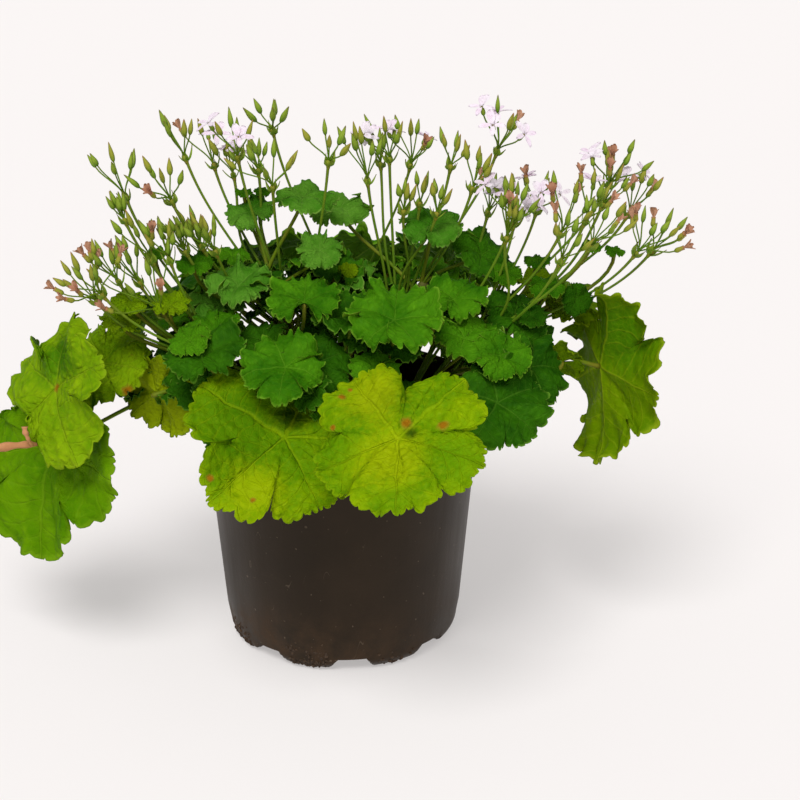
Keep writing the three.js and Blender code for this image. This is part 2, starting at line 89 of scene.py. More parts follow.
# Name, stem and place along it, where the petiole meets the blade, way the upper side faces and turn of
# its tip, [radius, droop, side arch, ruffle, sinus where it is wide], look.
# The looks top, mid and dark are lit, middle and shaded copies of one green, which is painted light and
# painted shade.
LEAVES = [
    ("front_left", "front", 0.92, (-28, -92, 158), (16, 56, -10), (57, 0.3, -0.3, 0.05), "lime"),
    ("front_right", "front", 1, (33, -130, 173), (-18, 54, 5), (47, -0.13, 0.28, 0.07), "lime"),
    ("far_left_low", "left", 0.7, (-165, -24, 124), (-44, 19, 25), (61, 0.1, -0.16, 0.06), "spring"),
    ("far_left_high", "left", 0.93, (-157, -44, 167), (-50, 24, 48), (43, 0.45, -0.09, 0.05), "fresh"),
    ("left_high", "left", 0.86, (-134, -18, 172), (-20, 58, 10), (30, 0.3, 0.1, 0.1), "fresh"),
    ("left_under", "left", 0.72, (-103, -30, 158), (150, 14, -26), (28, 0.3, 0.2, 0.08), "olive"),
    ("left_mid", "left", 0.62, (-90, -20, 178), (-60, 45, 25), (21, 0.3, 0.1, 0.1), "dark"),
    ("front_left_mid", "left", 0.5, (-71, -64, 194), (-30, 66, -150), (23, 0.4, 0.2, 0.12), "dark"),
    ("front_mid_left", "front", 0.8, (-27, -80, 193), (-12, 60, -72), (24, 0.35, 0.3, 0.15), "mid"),
    ("front_mid", "front", 0.68, (-12, -64, 189), (25, 54, 20), (21, 0.3, 0.1, 0.14), "dark"),
    ("front_high_right", "tall_right", 0.5, (31, -62, 213), (-2, 66, 172), (28, 0.25, 0.2, 0.15), "mid"),
    ("front_high_left", "tall_left", 0.55, (-18, -50, 219), (2, 72, 178), (21, 0.2, 0.25, 0.15, 0.5), "mid"),
    ("high_mid", "tall_right", 0.7, (10, -40, 209), (25, 62, 120), (16, 0.4, 0.2, 0.14), "mid"),
    ("right_low", "right", 0.62, (87, -66, 167), (14, 50, 32), (30, 0.35, 0.2, 0.1), "dark"),
    ("right_edge", "right", 0.76, (106, -40, 178), (45, 40, -10), (23, 0.4, 0.2, 0.1), "dark"),
    ("right_front", "right", 0.42, (89, -50, 188), (20, 58, -30), (18, 0.3, 0.1, 0.13), "mid"),
    ("right_high", "tall_right", 0.8, (64, -28, 213), (10, 68, 150), (19, 0.4, 0.2, 0.13), "mid"),
    ("right_far_high", "right", 0.9, (99, -12, 197), (40, 60, 60), (20, 0.4, 0.2, 0.12), "dark"),
    ("right_back", "right", 0.95, (125, 28, 195), (70, 68, 30), (28, 0.4, 0.2, 0.1), "olive"),
    ("far_right", "right", 1, (149, 0, 163), (116, -2, -17), (54, 0.4, -0.25, 0.1), "olive"),
    ("far_right_fold", "right", 0.96, (126, -14, 171), (156, 37, 100), (16, 0.4, 0.3, 0.08, 0.6), "olive"),
    ("high_left", "tall_left", 0.78, (-56, -20, 218), (-20, 72, 160), (20, 0.2, 0.25, 0.15), "top"),
    ("top_left", "tall_left", 0.93, (-51, 20, 249), (-30, 66, -120), (15, 0.7, 0.5, 0.12), "top"),
    ("top_mid_left", "tall_left", 1, (-20, 2, 263), (12, 80, 60), (17, 0.8, 0.4, 0.1), "top"),
    ("top_back", "tall_right", 0.9, (0, 32, 248), (10, 80, -60), (18, 0.8, 0.5, 0.1), "top"),
    ("top_front", "tall_left", 0.86, (-10, -26, 241), (0, 55, -30), (13, 0.4, 0.2, 0.14), "top"),
    ("top_right", "tall_right", 0.95, (52, -3, 248), (6, 70, 160), (18, 0.7, 0.4, 0.12), "top"),
    ("top_far_right", "tall_right", 1, (80, 12, 226), (45, 52, 20), (19, 0.5, 0.3, 0.12), "dark"),
    ("back_left", "back", 0.6, (-52, 78, 200), (-150, 50, 10), (40, 0.4, 0.2, 0.1), "mid"),
    ("back_mid", "back", 1, (4, 118, 188), (180, 40, 10), (44, 0.5, 0.3, 0.09), "mid"),
    ("back_right", "back", 0.82, (62, 84, 198), (150, 50, 10), (38, 0.4, 0.2, 0.1), "dark"),
    ("back_far_left", "left", 0.79, (-104, 52, 184), (-120, 45, 10), (42, 0.5, 0.3, 0.09), "dark"),
]

# Uneven lobes of the largest leaves: lengths of the five lobes, shifts of the four bounds between them,
# folds there, and how deep the lobes are cut.
LOBES = {
    "front_left": ((-0.3, -0.3, -0.15, 0.06, 0.02), (-0.1, -0.15, -0.39, -0.57), (-0.06, 0.1, -0.1, 0.06),
                   0.36),
    "front_right": ((0.12, 0.06, 0.07, 0.0, 0.12), (0.2, -0.15, -0.1, -0.27), (0.08, -0.1, 0.1, -0.08), 0.3),
    "far_left_low": ((0, 0.06, 0.1, 0.0, -0.4), (0.1, 0.2, 0.4, 0.1), (0.06, -0.06, 0.08, -0.1), 0.34),
    "far_left_high": ((0.1, 0.1, 0.1, -0.45, 0.1), (0.1, -0.1, 0.1, -0.05), (-0.2, 0.12, -0.14, 0.2), 0.4),
    "far_right": ((-0.3, -0.3, 0.05, 0, 0.1), (0, 0, 0, 0), (-0.15, 0.15, -0.15, 0.2), 0.22),
}

# Small leaves among the flower stalks that only the drawn plant has: the same without a name
SMALL_LEAVES = [
    ("right", 0.8, (107, -20, 201), (20, 60, 30), (10, 0.3, 0.2, 0.13), "dark"),
    ("right", 0.84, (117, -6, 213), (10, 78, -40), (11, 0.5, 0.3, 0.12), "mid"),
    ("right", 0.88, (124, 6, 197), (60, 40, 20), (9, 0.4, 0.3, 0.12), "olive"),
    ("right", 0.9, (134, -4, 206), (20, 20, -30), (10, 0.5, 0.2, 0.1), "dark"),
    ("right", 0.7, (93, 0, 218), (-10, 66, 90), (10, 0.4, 0.2, 0.13), "mid"),
    ("right", 0.75, (112, 10, 223), (0, 82, 0), (8, 0.6, 0.3, 0.1), "mid"),
    ("right", 0.85, (142, 6, 233), (10, 76, 60), (6, 0.6, 0.3, 0.1), "mid"),
    ("right", 0.85, (156, 10, 229), (30, 80, -60), (6, 0.6, 0.3, 0.1), "mid"),
    ("right", 0.5, (73, -44, 193), (0, 56, 20), (10, 0.4, 0.2, 0.13), "dark"),
    ("left", 0.8, (-115, -30, 212), (10, 70, -60), (11, 0.3, 0.2, 0.1), "fresh"),
    ("left", 0.74, (-93, -34, 212), (-10, 72, 120), (12, 0.3, 0.2, 0.12), "fresh"),
    ("tall_left", 0.5, (-81, -10, 228), (0, 74, 40), (11, 0.5, 0.3, 0.12), "mid"),
    ("tall_left", 0.6, (-61, 4, 228), (20, 80, 0), (10, 0.5, 0.3, 0.12), "mid"),
    ("left", 0.6, (-104, 0, 231), (-20, 76, 60), (6, 0.6, 0.3, 0.1), "mid"),
    ("tall_left", 0.8, (-55, 26, 259), (0, 80, 0), (5, 0.7, 0.4, 0.1), "mid"),
    ("tall_left", 0.8, (-45, 28, 259), (40, 78, 0), (5, 0.7, 0.4, 0.1), "mid"),
    ("left", 0.84, (-122, -24, 199), (20, 74, -50), (12, 0.2, 0.2, 0.1), "fresh"),
    ("tall_right", 0.4, (5, -10, 224), (0, 50, 0), (6, 0.4, 0.2, 0.1), "fresh"),
    ("left", 0.66, (-80, -60, 201), (-30, 60, 60), (12, 0.4, 0.2, 0.13), "mid"),
]

# A withered stalk at the far left: the control points of its two runs, and how thick each starts
DRIED_RUNS = [
    ([[-191, -62, 138], [-179, -66, 143], [-168, -62, 140], [-161, -42, 133]], 3.4),
    ([[-172, -64, 152], [-172, -65, 148], [-171, -65, 145], [-169, -62, 140]], 2.2),
]

# The dome that the smaller leaves fill, and the number that the drawn plant's own leaves count from
MOUND_MIDDLE = (-4.0, 4.0, 138.0)
MOUND_RADII = (128.0, 98.0, 90.0)
MOUND_LEAVES = 100
OWN_LEAVES = 60

# Least radius, teeth for each lobe, columns for each tooth and rows of a blade's points; the last grid is
# for the drawn plant's own small leaves
LEAF_GRIDS = [(45, 13, 5, 20), (30, 9, 5, 16), (0, 9, 4, 12)]
SMALL_GRID = (6, 3, 7)
BLADE_THICK = 0.5
# The gap between a leaf's two basal lobes in radians, where its row gives none: below 0 they overlap
SINUS = -0.16

# How far a flower stalk bows aside, in the frame and in the drawn plant's own
BOW = 1.2
OWN_BOW = 4.0

# The petals' length in open and spent flowers, and how thick the rays of an umbel are
OPEN_SIZE = 7.5
SPENT_SIZE = 6.0
RAY_RADIUS = 0.43

# Outlines of buds, calyxes and the swelling below an umbel: places along them, and radii
OUTLINES = {
    "bud": ([0, 0.1, 0.25, 0.42, 0.6, 0.78, 0.92, 1], [0.4, 0.8, 1, 0.97, 0.76, 0.47, 0.26, 0.05]),
    "calyx": ([0, 0.12, 0.3, 0.55, 0.8, 1], [0.3, 0.7, 0.9, 0.8, 0.72, 0.8]),
    "swelling": ([0, 0.3, 0.6, 0.85, 1], [0.5, 0.75, 1, 0.95, 0.45]),
}

# Name, stem and place along it, the umbel's node, rays, ray length, spread, open flowers, spent flowers.
STALKS = [
    ("left_1", "left", 0.58, (-120, 10, 260), 6, 26, 45, 0, 0),
    ("left_2", "tall_left", 0.4, (-92, -10, 264), 7, 20, 55, 0, 1),
    ("left_3", "tall_left", 0.51, (-87, 22, 280), 5, 20, 35, 0, 0),
    ("left_4", "tall_left", 0.61, (-73, 42, 270), 5, 22, 40, 2, 1),
    ("left_5", "tall_left", 0.64, (-56, 4, 285), 6, 20, 45, 2, 0),
    ("left_6", "back", 0.5, (-38, 32, 293), 6, 12, 50, 0, 0),
    ("left_7", "tall_left", 0.74, (-36, -14, 273), 7, 22, 60, 0, 0),
    ("middle_1", "tall_left", 0.46, (-5, -20, 289), 5, 16, 50, 0, 0),
    ("middle_2", "tall_right", 0.57, (16, 6, 271), 6, 24, 30, 0, 0),
    ("middle_3", "tall_right", 0.63, (28, 26, 278), 6, 18, 50, 2, 0),
    ("right_1", "tall_right", 0.67, (62, 0, 281), 5, 14, 40, 0, 0),
    ("right_2", "tall_right", 0.75, (88, 10, 287), 8, 22, 50, 4, 1),
    ("right_3", "right", 0.35, (95, -20, 254), 7, 20, 55, 2, 1),
    ("right_4", "right", 0.49, (123, -10, 245), 7, 26, 45, 0, 2),
    ("right_5", "right", 0.55, (152, 22, 264), 8, 22, 60, 2, 2),
    ("right_6", "right", 0.68, (138, -26, 243), 7, 26, 50, 0, 1),
    ("right_7", "right", 0.79, (167, 2, 230), 7, 24, 55, 0, 3),
    ("far_left", "front", 0.5, (-128, -44, 221), 7, 24, 65, 0, 3),
    ("near_left", "left", 0.44, (-96, -34, 206), 8, 40, 50, 0, 3),
    ("back_1", "back", 0.7, (40, 70, 262), 7, 22, 50, 2, 1),
]

# More stalks that only the drawn plant has, in the same form.
MORE_STALKS = [
    ("a1", "left", 0.6, (-120, 0, 250), 6, 9, 25, 0, 0),
    ("a2", "left", 0.66, (-103, -20, 233), 7, 22, 30, 0, 1),
    ("a3", "left", 0.7, (-92, -30, 236), 6, 18, 35, 0, 0),
    ("a4", "tall_left", 0.35, (-85, -14, 236), 9, 15, 28, 0, 0),
    ("a5", "tall_left", 0.42, (-77, -6, 237), 8, 16, 28, 0, 0),
    ("a6", "tall_left", 0.5, (-68, -20, 238), 7, 16, 30, 0, 0),
    ("a7", "left", 0.75, (-132, -40, 216), 7, 20, 45, 0, 3),
    ("a8", "left", 0.8, (-121, -30, 224), 6, 18, 30, 0, 1),
    ("a9", "left", 0.6, (-112, -10, 216), 6, 20, 28, 0, 1),
    ("b1", "tall_right", 0.5, (36, -10, 258), 4, 12, 25, 0, 0),
    ("b2", "tall_right", 0.58, (45, -5, 261), 4, 11, 25, 0, 0),
    ("b3", "tall_right", 0.62, (54, -14, 258), 4, 12, 30, 0, 0),
    ("b4", "tall_right", 0.7, (74, -6, 270), 5, 17, 30, 0, 0),
    ("b5", "right", 0.8, (98, 0, 248), 7, 18, 50, 4, 0),
    ("b6", "right", 0.78, (92, -30, 249), 9, 20, 22, 0, 0),
    ("b7", "right", 0.85, (111, 14, 251), 6, 18, 55, 3, 1),
    ("b8", "right", 0.9, (137, -6, 251), 7, 22, 35, 1, 2),
    ("b9", "right", 0.93, (148, 10, 256), 7, 22, 40, 1, 2),
    ("c1", "right", 0.97, (164, 24, 246), 6, 22, 35, 1, 1),
    ("c2", "right", 0.86, (121, -40, 239), 6, 22, 40, 0, 1),
    ("c3", "right", 0.72, (177, 14, 227), 6, 20, 40, 0, 3),
    ("c4", "tall_left", 0.7, (-61, 30, 268), 5, 14, 35, 2, 0),
    ("c5", "tall_left", 0.55, (-46, 20, 273), 5, 14, 35, 1, 0),
    ("c6", "tall_right", 0.66, (23, 30, 274), 5, 14, 30, 1, 0),
    ("c7", "right", 0.35, (84, 20, 248), 5, 16, 35, 1, 1),
    ("d1", "left", 0.5, (-78, 16, 221), 6, 18, 35, 0, 1),
]


# Directions and curves


def unit(v):
    """The vectors at length one."""
    v = np.asarray(v, float)
    return v / np.linalg.norm(v, axis=-1, keepdims=True)


def aim(azimuth, elevation):
    """The unit vector for an azimuth from the front and an elevation."""
    a, e = np.radians(azimuth), np.radians(elevation)
    return np.array([np.cos(e) * np.sin(a), -np.cos(e) * np.cos(a), np.sin(e)])


def even_turns(sides):
    """Angles round a full circle, in radians."""
    return 2 * np.pi * np.arange(sides) / sides


def around_z(radius, angle):
    """X and Y at a distance from the Z axis, at an angle in radians from the front."""
    return radius * np.sin(angle), -radius * np.cos(angle)


def turned(v, axis, angle):
    """Vectors turned round a unit axis by an angle: v cos + (axis x v) sin + axis (axis.v)(1 - cos)."""
    along = np.sum(axis * v, axis=-1, keepdims=True)
    angle = np.asarray(angle)[..., None] if np.ndim(angle) else angle
    return v * np.cos(angle) + np.cross(axis, v) * np.sin(angle) + axis * along * (1 - np.cos(angle))


def bezier(corners, at):
    """The cubic curve of four control points, at the given fractions."""
    c, t = np.asarray(corners, float), np.asarray(at, float)[..., None]
    return (1 - t) ** 3 * c[0] + 3 * (1 - t) ** 2 * t * c[1] + 3 * (1 - t) * t**2 * c[2] + t**3 * c[3]


def stalk_curve(start, end, arrival):
    """Control points of a stalk that leaves its stem steeply and arrives along a given direction."""
    length = np.linalg.norm(end - start)
    departure = unit(end - start + UP * 0.5 * length)
    return [start, start + departure * 0.35 * length, end - arrival * 0.35 * length, end]


def ripple(places, seed, wavelength, waves=9):
    """Smooth noise of about -1 to 1: the sum of sine waves in random directions through each place."""
    random = np.random.default_rng(seed)
    ways = unit(random.normal(size=(waves, places.shape[-1])))
    lengths = wavelength * random.uniform(0.7, 1.5, waves)
    phases = random.uniform(0, 2 * np.pi, waves)
    return np.sin(places @ (ways.T * 2 * np.pi / lengths) + phases).sum(-1) / waves**0.5


# Meshes


def new_object(name, data):
    """An object for a mesh, lamp or camera, in the scene."""
    made = bpy.data.objects.new(name, data)
    bpy.context.collection.objects.link(made)
    return made


class Parts:
    """Collects grids of points with their faces, UVs and material slots, and writes them as one mesh."""

    def __init__(self):
        self.points, self.uvs, self.corners, self.sizes, self.slots = [], [], [], [], []
        self.count = 0

    def add(self, points, uvs, faces, slot):
        """Adds points with one UV each, and a list of face arrays that are each of one size.

        slot is one material slot for all, or a list with one for each face array.
        """
        points = np.asarray(points, float).reshape(-1, 3)
        for block, block_slot in zip(faces, slot if isinstance(slot, list) else [slot] * len(faces)):
            block = np.asarray(block)
            self.corners.append((block + self.count).ravel())
            self.sizes.append(np.full(len(block), block.shape[1]))
            self.slots.append(np.full(len(block), block_slot))
        self.points.append(points)
        self.uvs.append(np.asarray(uvs, float).reshape(-1, 2))
        self.count += len(points)

    def add_rings(self, points, slot=0, flip=False):
        """Adds a tube of rings that is capped at both ends. U runs round it and V along it."""
        rings, sides = points.shape[:2]
        uvs = np.stack(np.meshgrid(even_turns(sides) / (2 * np.pi), np.linspace(0, 1, rings)), -1)
        first, last = np.arange(sides)[None, :], (rings - 1) * sides + np.arange(sides)[None, :]
        faces = [grid_faces(rings, sides, closed=True), first[:, ::-1], last]
        self.add(points, uvs, [face[:, ::-1] for face in faces] if flip else faces, slot)

    def write(self, name, materials, sharp=None):
        """Makes the object, in metres, smooth shaded, with its place in its mesh."""
        points, corners = np.concatenate(self.points) * MM, np.concatenate(self.corners)
        sizes, slots = np.concatenate(self.sizes), np.concatenate(self.slots)
        mesh = bpy.data.meshes.new(name)
        mesh.vertices.add(len(points))
        mesh.vertices.foreach_set("co", points.ravel())
        mesh.loops.add(len(corners))
        mesh.loops.foreach_set("vertex_index", corners)
        mesh.polygons.add(len(sizes))
        mesh.polygons.foreach_set("loop_start", np.concatenate([[0], np.cumsum(sizes)[:-1]]))
        mesh.polygons.foreach_set("material_index", slots)
        mesh.polygons.foreach_set("use_smooth", np.ones(len(sizes), bool))
        layer = mesh.uv_layers.new(name="pattern")
        layer.data.foreach_set("uv", np.concatenate(self.uvs)[corners].ravel())
        for material in materials:
            mesh.materials.append(material)
        mesh.update(calc_edges=True)
        mesh.validate()
        if sharp is not None:
            mesh.set_sharp_from_angle(angle=np.radians(sharp))
        return new_object(name, mesh)


def grid_faces(rows, columns, closed=False):
    """Quads of a grid of points stored row by row; a closed grid joins its last column to its first."""
    row = np.arange(rows - 1)[:, None] * columns
    column = np.arange(columns if closed else columns - 1)[None, :]
    here, beside = row + column, row + (column + 1) % columns
    return np.stack([here, beside, beside + columns, here + columns], -1).reshape(-1, 4)


def wall(edge, count, flip=False):
    """Quads between the points of an edge and their copies, which are stored count places later."""
    quads = np.stack([edge[:-1], edge[1:], edge[1:] + count, edge[:-1] + count], -1)
    return quads[:, [1, 0, 3, 2]] if flip else quads


def tube(parts, path, radii, sides, slot, flute=None):
    """A round rod along a path: each ring stands square to the path, and both ends are capped.

    flute(angles, fractions) scales the radius, for ridges or lumps.
    """
    path, rings = np.asarray(path, float), len(path)
    tangents = unit(np.gradient(path, axis=0))
    level = np.linalg.svd(path - path.mean(0))[2][2]
    binormals = unit(level - tangents * (tangents @ level)[:, None])
    normals = np.cross(binormals, tangents)
    angles = even_turns(sides)
    radius = np.broadcast_to(np.asarray(radii, float), rings)[:, None] * np.ones(sides)
    if flute is not None:
        radius = radius * flute(angles[None, :], np.linspace(0, 1, rings)[:, None])
    cosine, sine = np.cos(angles)[None, :, None], np.sin(angles)[None, :, None]
    ring = normals[:, None] * cosine + binormals[:, None] * sine
    parts.add_rings(path[:, None] + ring * radius[..., None], slot)


# Shader building


class Nodes:
    """Short calls that add a node to a tree and join its sockets."""

    def __init__(self, tree):
        self.tree = tree

    def put(self, socket, value):
        """Joins a socket to another one or sets it; a colour of three numbers gets full alpha."""
        if isinstance(value, bpy.types.NodeSocket):
            self.tree.links.new(value, socket)
        elif value is not None:
            socket.default_value = (*value, 1.0) if socket.type == "RGBA" else value

    def node(self, kind, inputs=(), **settings):
        made = self.tree.nodes.new(kind)
        for key, value in settings.items():
            setattr(made, key, value)
        for key, value in dict(inputs).items():
            self.put(made.inputs[key], value)
        return made

    def math(self, operation, a, b=None):
        return self.node("ShaderNodeMath", {0: a, 1: b}, operation=operation).outputs[0]

    def times(self, a, b):
        return self.math("MULTIPLY", a, b)

    def plus(self, a, b):
        return self.math("ADD", a, b)

    def minus(self, a, b):
        return self.math("SUBTRACT", a, b)

    def vector(self, operation, a, b=None, scale=None):
        made = self.node("ShaderNodeVectorMath", {0: a, 1: b, 3: scale}, operation=operation)
        return made.outputs["Value" if operation in ("LENGTH", "DISTANCE") else "Vector"]

    def mix(self, amount, a, b):
        return self.node("ShaderNodeMix", {0: amount, 6: a, 7: b}, data_type="RGBA").outputs[2]

    def ramp(self, value, low, high, to_low=0.0, to_high=1.0):
        """A smooth step from to_low at low to to_high at high."""
        inputs = enumerate((value, low, high, to_low, to_high))
        return self.node("ShaderNodeMapRange", inputs, interpolation_type="SMOOTHSTEP").outputs[0]

    def noise(self, vector, scale, detail=2.0, roughness=0.5):
        inputs = {"Vector": vector, "Scale": scale, "Detail": detail, "Roughness": roughness}
        return self.node("ShaderNodeTexNoise", inputs).outputs["Fac"]

    def stretched(self, place, scales, detail, roughness=0.5):
        """Noise with its own scale along each axis."""
        return self.noise(self.vector("MULTIPLY", place, scales), 1.0, detail, roughness)

    def group(self, tree, **inputs):
        return self.node("ShaderNodeGroup", inputs, node_tree=tree).outputs

    def place(self):
        """Where a point of the surface is, in metres."""
        return self.node("ShaderNodeTexCoord").outputs["Object"]

    def pattern(self):
        """Where a point of the surface is in the piece's UV layer."""
        return self.node("ShaderNodeUVMap", uv_map="pattern").outputs[0]

    def split(self, vector):
        return self.node("ShaderNodeSeparateXYZ", {"Vector": vector}).outputs

    def bump(self, height, strength, distance):
        inputs = {"Height": height, "Strength": strength, "Distance": distance}
        return self.node("ShaderNodeBump", inputs).outputs[0]

    def skin(self, colour, roughness, normal, specular=None, tint=None):
        return self.node("ShaderNodeBsdfPrincipled", {
            "Base Color": colour, "Roughness": roughness, "Normal": normal,
            "Specular IOR Level": specular, "Specular Tint": tint,
        }).outputs[0]

    def lit_through(self, skin, amount, colour, normal=None):
        """A skin that lets some light of a given colour through from behind."""
        through = self.node("ShaderNodeBsdfTranslucent", {"Color": colour, "Normal": normal})
        return self.node("ShaderNodeMixShader", {0: amount, 1: skin, 2: through.outputs[0]}).outputs[0]


def shader_group(name, inputs, outputs):
    """An empty node group with named sockets: returns its tree, nodes, input sockets and output node."""
    tree = bpy.data.node_groups.new(name, "ShaderNodeTree")
    kinds = {"vector": "NodeSocketVector", "value": "NodeSocketFloat"}
    for label, kind in inputs.items():
        tree.interface.new_socket(label, in_out="INPUT", socket_type=kinds[kind])
    for label in outputs:
        tree.interface.new_socket(label, in_out="OUTPUT", socket_type=kinds["value"])
    n = Nodes(tree)
    return tree, n, n.node("NodeGroupInput").outputs, n.node("NodeGroupOutput").inputs


def material(name):
    """An empty material: returns it, its nodes and its surface socket."""
    made = bpy.data.materials.new(name)
    made.use_nodes = True
    made.node_tree.nodes.clear()
    n = Nodes(made.node_tree)
    return made, n, n.node("ShaderNodeOutputMaterial").inputs["Surface"]


# Shared patterns

# The angle between two main veins on the flat disc in radians, and how many side veins lie along a radius
VEIN_TURN = (2 * np.pi - 0.3) / 5
SIDE_VEINS = 6.5


def leaf_pattern():
    """Veins and puckers of a leaf, on UVs that hold the blade as a flat disc with its tip along +U.

    Main veins run out from the middle at even turns. Side veins leave them forwards at a slant, and are where
    (reach - slant * distance from the main vein) is a whole step. A net of cells fills the rest.
    """
    tree, n, given, out = shader_group("leaf pattern", {"UV": "vector", "Place": "vector"},
                                       ("Vein", "Net", "Margin", "Patch", "Mottle", "Pucker", "Height"))
    place = given["Place"]
    flat = n.vector("SCALE", n.vector("SUBTRACT", given["UV"], (0.5, 0.5, 0.0)), scale=2.0)
    wander = n.node("ShaderNodeTexNoise", {"Vector": n.vector("ADD", flat, place), "Scale": 4.0}).outputs[1]
    wander = n.vector("SCALE", n.vector("SUBTRACT", wander, (0.5, 0.5, 0.5)), scale=0.07)
    bent = n.vector("ADD", flat, wander)
    part = n.split(bent)
    reach = n.vector("LENGTH", bent)
    lobe = n.math("DIVIDE", n.math("ARCTAN2", part["Y"], part["X"]), VEIN_TURN)
    off = n.minus(lobe, n.math("ROUND", lobe))
    aside = n.times(n.times(n.math("ABSOLUTE", off), VEIN_TURN), reach)
    wide = n.minus(0.03, n.times(reach, 0.022))
    main = n.ramp(n.math("DIVIDE", aside, wide), 0.25, 1.0, 1.0, 0.0)
    rung = n.times(n.minus(reach, n.times(aside, 0.9)), SIDE_VEINS)
    rung = n.plus(rung, n.times(n.math("SIGN", off), 0.25))
    beside = n.math("ABSOLUTE", n.minus(n.math("FRACT", rung), 0.5))
    side = n.times(n.ramp(beside, 0.0, 0.1, 1.0, 0.0), n.ramp(reach, 0.1, 0.25))
    vein = n.math("MAXIMUM", main, n.times(side, 0.55))
    cells = n.node("ShaderNodeTexVoronoi", {"Vector": bent, "Scale": 17.0}, feature="DISTANCE_TO_EDGE")
    net = n.ramp(cells.outputs[0], 0.0, 0.09, 1.0, 0.0)
    puckers = n.node("ShaderNodeTexVoronoi", {"Vector": bent, "Scale": 11.0, "Smoothness": 0.5},
                     feature="SMOOTH_F1")
    pucker = n.ramp(puckers.outputs[0], 0.0, 0.75, 1.0, 0.0)
    n.put(out["Vein"], vein)
    n.put(out["Net"], net)
    n.put(out["Margin"], n.ramp(n.vector("LENGTH", flat), 0.93, 1.0))
    n.put(out["Patch"], n.ramp(n.noise(place, 38.0, 3.0, 0.6), 0.3, 0.7))
    n.put(out["Mottle"], n.ramp(n.noise(place, 190.0, 3.0, 0.65), 0.36, 0.66))
    n.put(out["Pucker"], pucker)
    height = n.plus(n.times(vein, -0.45), n.times(pucker, 0.9))
    height = n.plus(height, n.times(net, -0.12))
    n.put(out["Height"], n.plus(height, n.times(n.noise(place, 900.0), 0.12)))
    return tree


def spot_shade_and_light_mask():
    """A withered spot's mask: full inside a given size round a centre, in metres, with a ragged edge and a
    dark rim. Its soft, wider mask also lays the patches of painted shade and painted light.
    """
    tree, n, given, out = shader_group("dried spot and painted shade mask", {"Place": "vector", "Centre": "vector", "Size": "value"},
                                       ("Spot", "Rim", "Soft"))
    ragged = n.times(n.minus(n.noise(given["Place"], 420.0), 0.5), 1.1)
    away = n.math("DIVIDE", n.vector("DISTANCE", given["Place"], given["Centre"]), given["Size"])
    away = n.plus(away, ragged)
    n.put(out["Spot"], n.ramp(away, 0.5, 1.1, 1.0, 0.0))
    n.put(out["Soft"], n.ramp(away, 0.3, 1.4, 1.0, 0.0))
    n.put(out["Rim"], n.times(n.ramp(away, 0.5, 0.9), n.ramp(away, 0.9, 1.6, 1.0, 0.0)))
    return tree


LEAF_PATTERN = leaf_pattern()
SPOT_SHADE_AND_LIGHT_MASK = spot_shade_and_light_mask()
SPOT_RIM = (0.32, 0.22, 0.015)
SPOT_MIDDLE = (0.40, 0.12, 0.006)

# Dried spots of the large leaves: centre and size
SPOTS = {
    "lime": [
        ((-0.0649, -0.1284, 0.1501), 0.0018), ((-0.0427, -0.1308, 0.1386), 0.0013),
        ((0.0561, -0.1321, 0.1815), 0.0027), ((0.0036, -0.1049, 0.1861), 0.0018),
        ((-0.0008, -0.1198, 0.1747), 0.0015), ((0.0077, -0.1014, 0.1887), 0.0012),
        ((0.0372, -0.1250, 0.1798), 0.0026),
    ],
    "fresh": [((-0.1562, -0.0458, 0.1677), 0.0022), ((-0.1179, -0.0386, 0.1630), 0.003)],
}

# Painted shade and painted light on the large leaves as soft tinted patches, dark where folds, curls and
# hollows lie in shade and light where light falls: centre, size, colour and strength
PAINTED_SHADE_AND_LIGHT_PATCHES = {
    "lime": [
        ((-0.0539, -0.0949, 0.1660), 0.034, (0.075, 0.205, 0.001), 0.8),
        ((-0.0245, -0.0820, 0.1655), 0.0095, (0.012, 0.045, 0.001), 0.95),
        ((-0.0192, -0.1018, 0.1515), 0.018, (0.10, 0.26, 0.001), 0.6),
        ((-0.0419, -0.1256, 0.1419), 0.018, (0.44, 0.54, 0.002), 0.6),
        ((0.0299, -0.1424, 0.1665), 0.020, (0.48, 0.53, 0.002), 0.5),
        ((0.0209, -0.1081, 0.1885), 0.018, (0.44, 0.46, 0.002), 0.45),
        ((-0.0023, -0.1271, 0.1654), 0.014, (0.13, 0.30, 0.001), 0.6),
        ((0.0621, -0.1437, 0.1698), 0.016, (0.14, 0.32, 0.001), 0.5),
        ((0.0315, -0.1710, 0.1543), 0.012, (0.13, 0.30, 0.001), 0.5),
        ((0.0397, -0.1301, 0.1762), 0.0036, (0.03, 0.07, 0.002), 0.9),
    ],
    "fresh": [
        ((-0.1534, -0.0383, 0.1862), 0.013, (0.03, 0.12, 0.001), 0.9),
        ((-0.1480, -0.0500, 0.1850), 0.011, (0.04, 0.15, 0.001), 0.8),
        ((-0.1620, -0.0366, 0.1772), 0.012, (0.08, 0.24, 0.002), 0.7),
    ],
    "underside": [
        ((0.1586, -0.0117, 0.1864), 0.024, (0.06, 0.20, 0.002), 0.8),
        ((-0.1030, -0.0300, 0.1500), 0.048, (0.36, 0.45, 0.003), 0.8),
    ],
}

